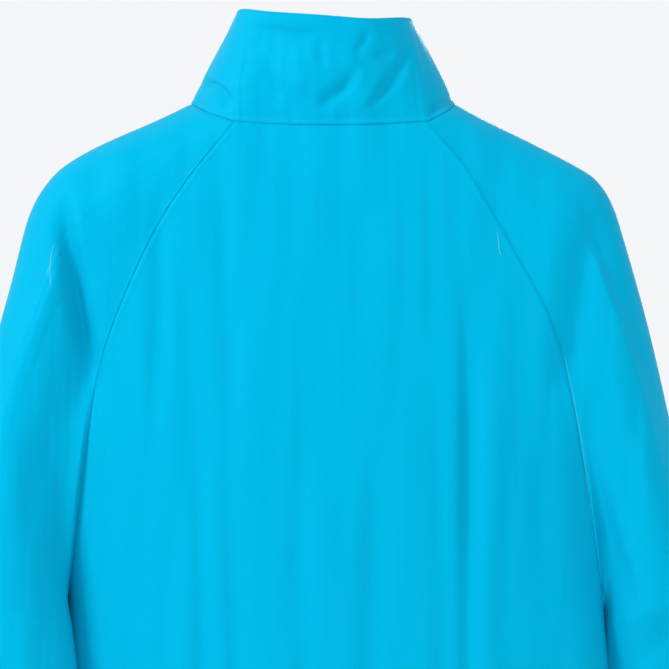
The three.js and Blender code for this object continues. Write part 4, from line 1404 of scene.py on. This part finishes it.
# Creases of the collar's back, from the photo, then plain ones for its front.
COLLAR_BACK_CREASES = (
    Crease(((68, 0), (34, -4), (-10, -8)), 6, -2.6),
    Crease(((80, -14), (52, -16), (20, -18), (0, -26)), 9, -1.6),
    Crease(((2, -4), (2, -20), (-2, -34)), 3, -1.7),
    Crease(((50, -17), (43, -38), (34, -62)), 3.6, -2.0),
    Crease(((-30, -26), (-19, -48), (10, -66)), 4, -3.2),
    Crease(((-72, -12), (-57, -42), (-34, -64)), 3.6, -2.8),
    Crease(((-36, 0), (-33, -12), (-24, -22)), 2.6, -1.4),
    Crease(((-38, -19), (-47, -20), (-58, -20)), 2.6, -1.2),
    Crease(((108, -40), (88, -44), (79, -52), (71, -66)), 3, -3.2),
    Crease(((-82, -70), (-97, -58), (-108, -50)), 3.4, -2.4),
    Crease(((-12, -10), (-26, -34), (-42, -46)), 5, 1.4),
    Crease(((26, -10), (18, -36), (22, -62)), 6, 1.2),
    Crease(((64, -30), (60, -46), (52, -66)), 5, 1.1),
    Crease(((-48, -30), (-40, -50), (-22, -68)), 4, 1.3),
)
COLLAR_FRONT_CREASES = (
    Crease(((58, -22), (40, -44), (20, -58)), 6, -1.3),
    Crease(((-60, -24), (-42, -50), (-24, -70)), 6, -1.3),
    Crease(((88, -56), (70, -66), (56, -84)), 4, -1.5),
    Crease(((-88, -56), (-72, -68), (-60, -86)), 4, -1.5),
    Crease(((34, -48), (30, -66), (34, -88)), 5, -0.9),
    Crease(((-30, -46), (-34, -60), (-30, -80)), 5, -0.9),
)


@dataclass
class StandingCollar:
    """The tall standing collar from the neck seam to its rim."""

    seam: Array
    columns: int = 440
    rows: int = 54
    rim: Curve = Curve(RIM_ROWS)
    lip: float = 3.2
    edge_stitch: float = 2.6

    def cloth(self) -> ClothGrid:
        """The collar's cloth with its creases, lip and stitched grooves."""
        share = np.linspace(0, 1, self.columns + 1)
        base = resampled(self.seam, share)
        rim = self.rim(share)
        out = unit(np.stack([rim[:, 0], rim[:, 1] + 15, 0 * share], -1))
        t = close_at_ends(self.rows, 0.55)[:, None]
        calm = ease(0, 0.06, np.minimum(share, 1 - share))[None, :]
        bow = 2.2 * np.sin(math.pi * t) * calm
        points = mix(base[None], rim[None], t[..., None]) + out[None] * bow[..., None]
        x, y, z = points[..., 0], points[..., 1], points[..., 2]
        back, front = ease(-12, 12, y), ease(-8, -30, y)
        lift = 1.3 * back * sum(crease.lift(x, z) for crease in COLLAR_BACK_CREASES)
        lift = lift + front * sum(crease.lift(x, z) for crease in COLLAR_FRONT_CREASES)
        around = 380 * share[None, :] + 0 * t
        lift = lift + 0.7 * Drape(41, 14, 0.3, 0.06).lift(around, z)
        height = t * np.linalg.norm(rim - base, axis=1)[None, :]
        below = (1 - t) * np.linalg.norm(rim - base, axis=1)[None, :]
        soft = ease(0, 6, height) * ease(0, 4, below)
        lift = lift * soft * calm
        wave = np.sin(2 * math.pi * around / 19 + 1.3 * np.sin(around / 31))
        lift = lift + 0.18 * wave * np.exp(-(((height - 7) / 5) ** 2)) * calm
        lift = lift + 0.9 * ease(0, 0.6, height) * (1 - ease(self.lip, self.lip + 1.2, height))
        for line in (height - self.lip, below - self.edge_stitch):
            lift = lift - 0.45 * np.exp(-((line / 0.8) ** 2))
        return ClothGrid("collar", points + out[None] * lift[..., None])


@dataclass
class FrontZip:
    """The closed zip: two tapes and their interlocked teeth."""

    pitch: float = 2.4
    tooth: tuple[float, float, float] = (2.9, 1.05, 1.7)
    tape_wall: float = 0.9
    slider_drop: float = 12.0
    slider_half: float = 6.6

    def opening(self, collar: ClothGrid, front: ClothGrid, hem: ClothGrid, side: Side) -> Array:
        """The line of the opening on one side.

        Args:
            collar: The collar.
            front: That side's front panel.
            hem: The hem band.
            side: The wearer's left or right.

        Returns:
            Points from the collar's rim down to the hem.
        """
        first = 0 if side is Side.LEFT else -1
        inner = -1 if side is Side.LEFT else 0
        parts = (
            collar.points[::-1, first],
            front.points[1:, inner],
            hem.points[::-1, first][1:],
        )
        line = np.concatenate(parts)
        line[:, 0] = 0
        return resampled(line, np.linspace(0, 1, 361))

    def tape(self, line: Array, side: Side) -> ClothGrid:
        """One tape beside the teeth.

        Args:
            line: The opening's line.
            side: The wearer's left or right.

        Returns:
            The tape's cloth.
        """
        across = np.array([ZIP_EDGE, 7.4, 6.0, 4.4, 3.2, 2.4, 1.6, 0.9])
        sunk = np.array([0.0, 0.35, 0.5, 0.5, 0.45, 0.2, 0.25, 0.6])
        grid = np.repeat(line[:, None, :], len(across), 1)
        grid[..., 0] = side.value * across[None, :]
        grid[..., 1] += sunk[None, :]
        if side is Side.RIGHT:
            grid = grid[:, ::-1]
        return ClothGrid("zip_tape_" + side.name.lower(), grid)

    def teeth(self, line: Array) -> bpy.types.Object:
        """The teeth of both tapes, which lie in turn.

        Args:
            line: The opening's line.

        Returns:
            The piece.
        """
        length = float(np.linalg.norm(np.diff(line, axis=0), axis=1).sum())
        count = int((length - 8) / (self.pitch / 2))
        corners = [(a, b, c) for a in (-1, 1) for b in (-1, 1) for c in (-1, 1)]
        quads = ((0, 1, 3, 2), (4, 6, 7, 5), (0, 4, 5, 1), (2, 3, 7, 6), (0, 2, 6, 4), (1, 5, 7, 3))
        points: list[Array] = []
        faces: list[list[int]] = []
        for k in range(count):
            gone = 4 + k * self.pitch / 2
            if abs(gone - self.slider_drop) < self.slider_half:
                continue
            here, there = resampled(line, np.array([gone, gone + 0.5]) / length)
            down = unit(there - here)
            out = np.array([0, down[2], -down[1]])
            sign = 1 if k % 2 else -1
            wide, tall, deep = self.tooth
            centre = here + out * 0.05 + np.array([sign * 0.85, 0, 0])
            for a, b, c in corners:
                taper = 0.72 if c > 0 else 1.0
                step = np.array([a * wide / 2 * taper, 0, 0])
                points.append(centre + step + down * b * tall / 2 * taper + out * c * deep / 2)
            start = len(points) - 8
            faces.extend([[start + v for v in quad] for quad in quads])
        return mesh_object("zip_teeth", np.array(points), faces, 30)


class Topstitching:
    """Rows of small thread stitches that lie on the cloth."""

    def __init__(self, pitch: float = 3.0, half: float = 1.05, thick: float = 0.24) -> None:
        """Keeps the length from stitch to stitch, half a stitch and its half thickness."""
        self.pitch, self.half, self.thick = pitch, half, thick
        self.points: list[Array] = []
        self.faces: list[tuple[int, ...]] = []

    def run(self, line: Array, out: Array, raised: float = 0.12) -> None:
        """Sews one row.

        Args:
            line: Points along the row.
            out: The outward direction at each.
            raised: How far the thread's middle lies above the cloth.
        """
        length = float(np.linalg.norm(np.diff(line, axis=0), axis=1).sum())
        count = max(2, int(length / self.pitch))
        own = shares_of(line)
        middle = (np.arange(count) + 0.5) / count
        half = self.half / length
        ends = [resampled(line, middle + sign * half) for sign in (-1, 1)]
        up = unit(np.stack([np.interp(middle, own, out[:, k]) for k in range(3)], -1))
        side = unit(np.cross(ends[1] - ends[0], up))
        centre = (ends[0] + ends[1]) / 2 + up * raised
        for k in range(count):
            start = len(self.points)
            ring = [
                centre[k] + self.thick * (side[k] * a + up[k] * b)
                for a, b in ((1, 0), (0, 1), (-1, 0), (0, -1))
            ]
            self.points.extend([ends[0][k], *ring, ends[1][k]])
            for a in range(4):
                b = (a + 1) % 4
                self.faces.append((start, start + 1 + b, start + 1 + a))
                self.faces.append((start + 5, start + 1 + a, start + 1 + b))

    def piece(self, name: str) -> bpy.types.Object:
        """All the rows as one piece."""
        return mesh_object(name, np.array(self.points), self.faces, 80)


def loft(rings: Array) -> tuple[Array, list[list[int]]]:
    """Points and faces of a closed solid through rings of points.

    Args:
        rings: One row of points for each ring.

    Returns:
        The points, and the faces as their indices.
    """
    count, segments = rings.shape[:2]
    faces = []
    for i in range(count - 1):
        for j in range(segments):
            a, b = i * segments + j, i * segments + (j + 1) % segments
            faces.append([a, b, b + segments, a + segments])
    faces.append([segments - 1 - j for j in range(segments)])
    faces.append([(count - 1) * segments + j for j in range(segments)])
    return rings.reshape(-1, 3), faces


@dataclass
class PlainHanger:
    """A plain moulded hanger: two arms that carry the shoulders, and a hook in one piece."""

    tip: float = 206.0
    end_round: float = 12.0
    tall: float = 15.0
    deep: float = 8.5
    gap: float = 1.2
    hook_inside: float = 17.0
    wire: float = 2.6
    arm: Curve = Curve(((0, -50, 7, 8), (45, -53.5, 7, 8), (85, -62, 8, 8), (118, -73, 10, 10)))
    shifts: tuple[float, float] = (0.8, 2.6)

    def _arms(self, tops: dict[Side, Array], segments: int = 24) -> tuple[Array, list[list[int]]]:
        """The arms' points and faces.

        Args:
            tops: The cloth's top line on each side: distance from the middle and height.
            segments: How many points go round the section.

        Returns:
            Points and faces.
        """
        inner = self.tip - self.end_round
        straight = np.linspace(-inner, inner, 97)
        extra = inner + self.end_round * np.sin(np.linspace(0, 1, 9)[1:] * math.pi / 2)
        stations = np.concatenate([-extra[::-1], straight, extra])
        angles = 2 * math.pi * np.arange(segments) / segments
        rings = []
        for x in stations:
            at = abs(x)
            own = self.arm(min(at, 118.0))
            turn = float(ease(88, 133, at))
            line = tops[Side.LEFT if x > 0 else Side.RIGHT]
            under = float(np.interp(at, line[:, 0], line[:, 1])) - CLOTH_WALL - self.gap
            top = mix(own[0], min(own[0], under), turn) if at <= 118 else under
            if at > 118:
                top = mix(min(own[0], under), under, float(ease(118, 133, at)))
            deep = own[1] if at <= 118 else self.deep
            tall = own[2] if at <= 118 else mix(10, self.tall, float(ease(118, 160, at)))
            end = math.sqrt(max(0.0004, 1 - max(0.0, (at - inner) / (self.end_round + 0.05)) ** 2))
            shift = self.shifts[0 if x > 0 else 1] * float(ease(70, 125, at))
            y = shift + deep * end * np.cos(angles)
            z = top - tall / 2 + tall / 2 * end * np.sin(angles)
            rings.append(np.stack([np.full(segments, x), y, z], -1))
        return loft(np.array(rings))

    def piece(self, tops: dict[Side, Array]) -> bpy.types.Object:
        """The hanger as one piece.

        Args:
            tops: The cloth's top line on each side.

        Returns:
            The piece.
        """
        points, faces = self._arms(tops)
        bend = self.hook_inside + self.wire
        turns = np.radians([-22, 0, 22, 45, 68, 90, 112, 135, 158, 180, 202, 224])
        arc = np.stack(
            [bend * np.cos(turns), 0 * turns, bend * np.sin(turns) - self.hook_inside], -1
        )
        stem = [(-8.6, 0, -35.5), (-2.6, 0, -40.5), (0, 0, -46), (0, 0, -54)]
        line = centripetal(np.concatenate([arc, stem]), np.linspace(0, 1, 91))
        along = unit(np.gradient(line, axis=0))
        out = unit(np.stack([along[:, 2], 0 * along[:, 0], -along[:, 0]], -1))
        angles = 2 * math.pi * np.arange(14) / 14
        size = np.full(len(line), self.wire)
        size[:4] = self.wire * np.sqrt([0.02, 0.5, 0.78, 0.94])
        side = np.array([0, 1.0, 0])
        rings = line[:, None] + size[:, None, None] * (
            out[:, None] * np.cos(angles)[None, :, None] + side * np.sin(angles)[None, :, None]
        )
        wire_points, wire_faces = loft(rings)
        shift = len(points)
        faces = faces + [[v + shift for v in face] for face in wire_faces]
        return mesh_object("hanger_smooth", np.concatenate([points, wire_points]), faces, 60)


@dataclass
class Jacket:
    """The whole jacket: its panels in the order in which they are sewn together."""

    def build(self) -> list[bpy.types.Object]:
        """Builds and dresses every piece.

        Returns:
            The pieces.
        """
        body = BodyPanels()
        back = body.back()
        fronts = {side: body.front(side) for side in Side}
        makers = {side: RaglanSleeve(side) for side in Side}
        sleeves = {side: makers[side].cloth() for side in Side}
        cuffs = {side: ElasticCuff(sleeves[side]).cloth() for side in Side}
        neck = {side: sleeves[side].points[0, makers[side].neck_columns()] for side in Side}
        neck_line = np.concatenate(
            [
                fronts[Side.LEFT].points[0, 1:][::-1],
                neck[Side.LEFT][::-1],
                back.points[0, 1:-1][::-1],
                neck[Side.RIGHT][::-1],
                fronts[Side.RIGHT].points[0, :-1][::-1],
            ]
        )
        collar = StandingCollar(neck_line).cloth()
        hem_line = np.concatenate(
            [
                fronts[Side.LEFT].points[-1][::-1],
                back.points[-1, 1:-1][::-1],
                fronts[Side.RIGHT].points[-1][::-1],
            ]
        )
        hem = ElasticHem(hem_line).cloth()
        nylon, band = NYLON.material(), BAND_NYLON.material()
        pieces = []
        panels = [back, *fronts.values(), *sleeves.values(), collar]
        for cloth in [*panels, *cuffs.values(), hem]:
            elastic = cloth.name.startswith(("cuff", "hem"))
            collar_wall = COLLAR_SHELL if cloth is collar else CLOTH_WALL
            wall = BAND_SHELL if elastic else collar_wall
            piece = cloth.shell(wall)
            piece.name = cloth.name + "_cloth"
            dressed(piece, band if elastic else nylon)
            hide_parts(cloth.name)
            log.info("%s: %.4f m2 outside", piece.name, cloth.area())
            pieces.append(piece)
        self._trim(collar, fronts, hem, cuffs)
        self._painted_highlights(pieces[: len(panels)])
        self._hanger(sleeves, makers)
        return pieces

    def _trim(
        self,
        collar: ClothGrid,
        fronts: dict[Side, ClothGrid],
        hem: ClothGrid,
        cuffs: dict[Side, ClothGrid],
    ) -> None:
        """Adds the zip and the rows of stitching.

        Args:
            collar: The collar.
            fronts: The two front panels.
            hem: The hem band.
            cuffs: The two cuffs.
        """
        zip_maker = FrontZip()
        lines = {side: zip_maker.opening(collar, fronts[side], hem, side) for side in Side}
        middle = (lines[Side.LEFT] + lines[Side.RIGHT]) / 2
        tape_material = TAPE.material()
        for side in Side:
            cloth = zip_maker.tape(middle, side)
            piece = cloth.shell(zip_maker.tape_wall)
            piece.name = cloth.name + "_woven"
            dressed(piece, tape_material)
            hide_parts(cloth.name)
            log.info("%s: %.4f m2 outside", piece.name, cloth.area())
        dressed(zip_maker.teeth(middle), TEETH.material())
        sewing = Topstitching()
        normals = collar.normals()
        middle_column = collar.points[:, StandingCollar.columns // 2]
        heights = np.linalg.norm(middle_column - middle_column[0], axis=-1)
        drops = np.linalg.norm(middle_column - middle_column[-1], axis=-1)
        low = int(np.argmin(np.abs(heights - StandingCollar.lip)))
        high = int(np.argmin(np.abs(drops - StandingCollar.edge_stitch)))
        for row in (low, high):
            sewing.run(collar.points[row], normals[row])
        for side in Side:
            front, inner = fronts[side], -1 if side is Side.LEFT else 0
            normals = front.normals()
            steps = np.abs(np.abs(front.points[..., 0]) - ZIP_EDGE - ZIP_STITCH)
            columns = np.argmin(steps, axis=1)
            rows = np.arange(len(columns))
            line, out = front.points[rows, columns], normals[rows, columns]
            sewing.run(line[FRONT_STITCH_START:], out[FRONT_STITCH_START:])
            ends = COLLAR_STITCH_COLUMN if side is Side.LEFT else -1 - COLLAR_STITCH_COLUMN
            sewing.run(collar.points[3:-3, ends], collar.normals()[3:-3, ends])
            self._band_rows(sewing, cuffs[side], CUFF_STITCH_ROWS)
        self._band_rows(sewing, hem, BAND_STITCH_ROWS)
        dressed(sewing.piece("topstitching"), THREAD.material())

    @staticmethod
    def _band_rows(sewing: Topstitching, band: ClothGrid, rows: Sequence[float]) -> None:
        """Sews the rows of an elastic band.

        Args:
            sewing: Where the stitches are kept.
            band: The band's cloth.
            rows: Where the rows lie across it.
        """
        normals = band.normals()
        last = len(band.points) - 1
        for share in rows:
            k = int(round(share * last))
            line, out = band.points[k], normals[k]
            if band.closed:
                line, out = np.concatenate([line, line[:1]]), np.concatenate([out, out[:1]])
            sewing.run(line, out)

    @staticmethod
    def _painted_highlights(pieces: list[bpy.types.Object]) -> None:
        """Lays thin pale lines on the back as painted highlights, beside the left sleeve's deep crease
        and near the right raglan seam, where light catches the cloth.

        Args:
            pieces: The cloth that they lie on.
        """
        start = 0.3
        trees = []
        for piece in pieces:
            mesh = piece.data
            corners = [tuple(face.vertices) for face in mesh.polygons]
            trees.append(BVHTree.FromPolygons([v.co for v in mesh.vertices], corners))
        # Painted highlights: each row is a line's points, distance from the middle and height, then its
        # radius. The first two lie beside the left sleeve's deep crease, the last two near the right
        # raglan seam.
        marks = (
            (((216, -172), (218.2, -181), (219, -189), (218.8, -198), (218.4, -206)), 0.34),
            (((218.9, -189), (220.6, -193), (222.4, -198)), 0.24),
            (((-138.4, -163), (-139.6, -170), (-140, -177), (-142.4, -183)), 0.3),
            (((-193, -262), (-199, -290), (-205, -322), (-210.5, -358), (-214.4, -394)), 0.15),
        )
        points: list[Array] = []
        faces: list[list[int]] = []
        for line, radius in marks:
            path = resampled(np.array(line, float), np.linspace(0, 1, 40))
            placed = []
            for x, z in path:
                behind = Vector((x * MM, start, z * MM))
                hits = [tree.ray_cast(behind, Vector((0, -1, 0))) for tree in trees]
                depths = [hit[0].y for hit in hits if hit[0] is not None]
                if depths:
                    placed.append((x, max(depths) / MM + 0.1, z))
            centre = np.array(placed)
            along = unit(np.gradient(centre, axis=0))
            side = unit(np.cross(along, (0, 1.0, 0)))
            up = unit(np.cross(side, along))
            size = radius * (0.35 + 0.65 * np.sin(math.pi * np.linspace(0.03, 0.97, len(centre))))
            angles = 2 * math.pi * np.arange(6) / 6
            rings = centre[:, None] + size[:, None, None] * (
                side[:, None] * np.cos(angles)[None, :, None]
                + up[:, None] * np.sin(angles)[None, :, None]
            )
            made, made_faces = loft(rings)
            shift = len(points)
            points.extend(made)
            faces.extend([[v + shift for v in face] for face in made_faces])
        highlight_lines = mesh_object("painted_highlight_lines", np.array(points), faces, 80)
        dressed(highlight_lines, PAINTED_HIGHLIGHT.material())

    @staticmethod
    def _hanger(sleeves: dict[Side, ClothGrid], makers: dict[Side, RaglanSleeve]) -> None:
        """Adds the hanger under the shoulders.

        Args:
            sleeves: The two sleeves.
            makers: What made them, for their neck columns.
        """
        tops = {}
        for side in Side:
            columns = makers[side].neck_columns()
            middle = (columns.start + columns.stop) // 2
            rows = makers[side].shoulder_rows
            line = sleeves[side].points[: rows + 1, middle - 6 : middle + 7]
            low = line[..., 2].min(1)
            tops[side] = np.column_stack([np.abs(line[:, 6, 0]), low])
        piece = PlainHanger().piece(tops)
        dressed(piece, PLASTIC.material())
        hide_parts("hanger")


class Hardware:
    """The zip's slider and pull tab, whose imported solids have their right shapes."""

    def dress(self) -> None:
        """Gives both nodes a plated finish."""
        nickel = NICKEL.material()
        for name in ("zip_slider", "zip_pull"):
            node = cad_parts[name]
            node.data.materials.clear()
            node.data.materials.append(nickel)
            log.info("%s: plated", name)


@dataclass
class Studio:
    """A pale floor, an even pale surround, soft lights and the camera."""

    floor_height: float = -1.1
    floor_radius: float = 2.2
    wall: tuple[float, float, float] = (0.905, 0.925, 0.945)
    camera_place: tuple[float, float, float] = (-0.0084, 5.035, -0.2445)
    lens: float = 336.25

    def build(self) -> None:
        """Makes the floor, the world, the lights and the camera."""
        self._floor()
        self._world()
        self._light("key_light", (2.2, 1.45, 1.2), (0.0, 0.0, -0.2), 0.7, 66)
        self._light("fill_light", (-1.2, 3.2, 0.4), (0.0, 0.0, -0.3), 1.6, 32)
        self._light("front_light", (-0.5, -3.2, 0.5), (0.0, 0.0, -0.3), 1.2, 48)
        self._camera()
        bpy.context.scene.view_settings.view_transform = "Standard"

    def _floor(self) -> None:
        """A thin pale disc under the jacket."""
        segments = 96
        angles = 2 * math.pi * np.arange(segments) / segments
        radius = self.floor_radius / MM
        ring = np.stack([radius * np.cos(angles), radius * np.sin(angles), 0 * angles], -1)
        high = ring + (0, 0, self.floor_height / MM)
        rings = np.array([high - (0, 0, 20.0), high])
        points, faces = loft(rings[::-1])
        floor = mesh_object("studio_floor", points, faces, 30)
        floor.data.materials.append(FLOOR.material())

    def _world(self) -> None:
        """The pale surround that lights the cloth evenly."""
        world = bpy.data.worlds.new("pale_surround")
        world.use_nodes = True
        back = world.node_tree.nodes["Background"]
        back.inputs[0].default_value = (*self.wall, 1)
        back.inputs[1].default_value = 1.0
        bpy.context.scene.world = world

    @staticmethod
    def _light(
        name: str, place: Sequence[float], target: Sequence[float], size: float, power: float
    ) -> None:
        """Adds one soft square light.

        Args:
            name: Its name.
            place: Where it is, in metres.
            target: What it points at.
            size: The length of its side.
            power: Its power in watts.
        """
        data = bpy.data.lights.new(name, "AREA")
        data.size, data.energy = size, power
        light = bpy.data.objects.new(name, data)
        light.location = place
        aim = Vector(target) - Vector(place)
        light.rotation_euler = aim.to_track_quat("-Z", "Y").to_euler()
        bpy.context.scene.collection.objects.link(light)

    def _camera(self) -> None:
        """The camera, square behind the jacket."""
        data = bpy.data.cameras.new("camera")
        data.lens, data.sensor_width = self.lens, 36
        data.clip_end = 50
        camera = bpy.data.objects.new("camera", data)
        camera.location = self.camera_place
        camera.rotation_euler = Vector((0, -1, 0)).to_track_quat("-Z", "Y").to_euler()
        bpy.context.scene.collection.objects.link(camera)
        bpy.context.scene.camera = camera


def main() -> None:
    """Builds every class in order."""
    logging.basicConfig(level=logging.INFO, format="%(message)s")
    Studio().build()
    Jacket().build()
    Hardware().dress()


if __name__ == "__main__":
    main()
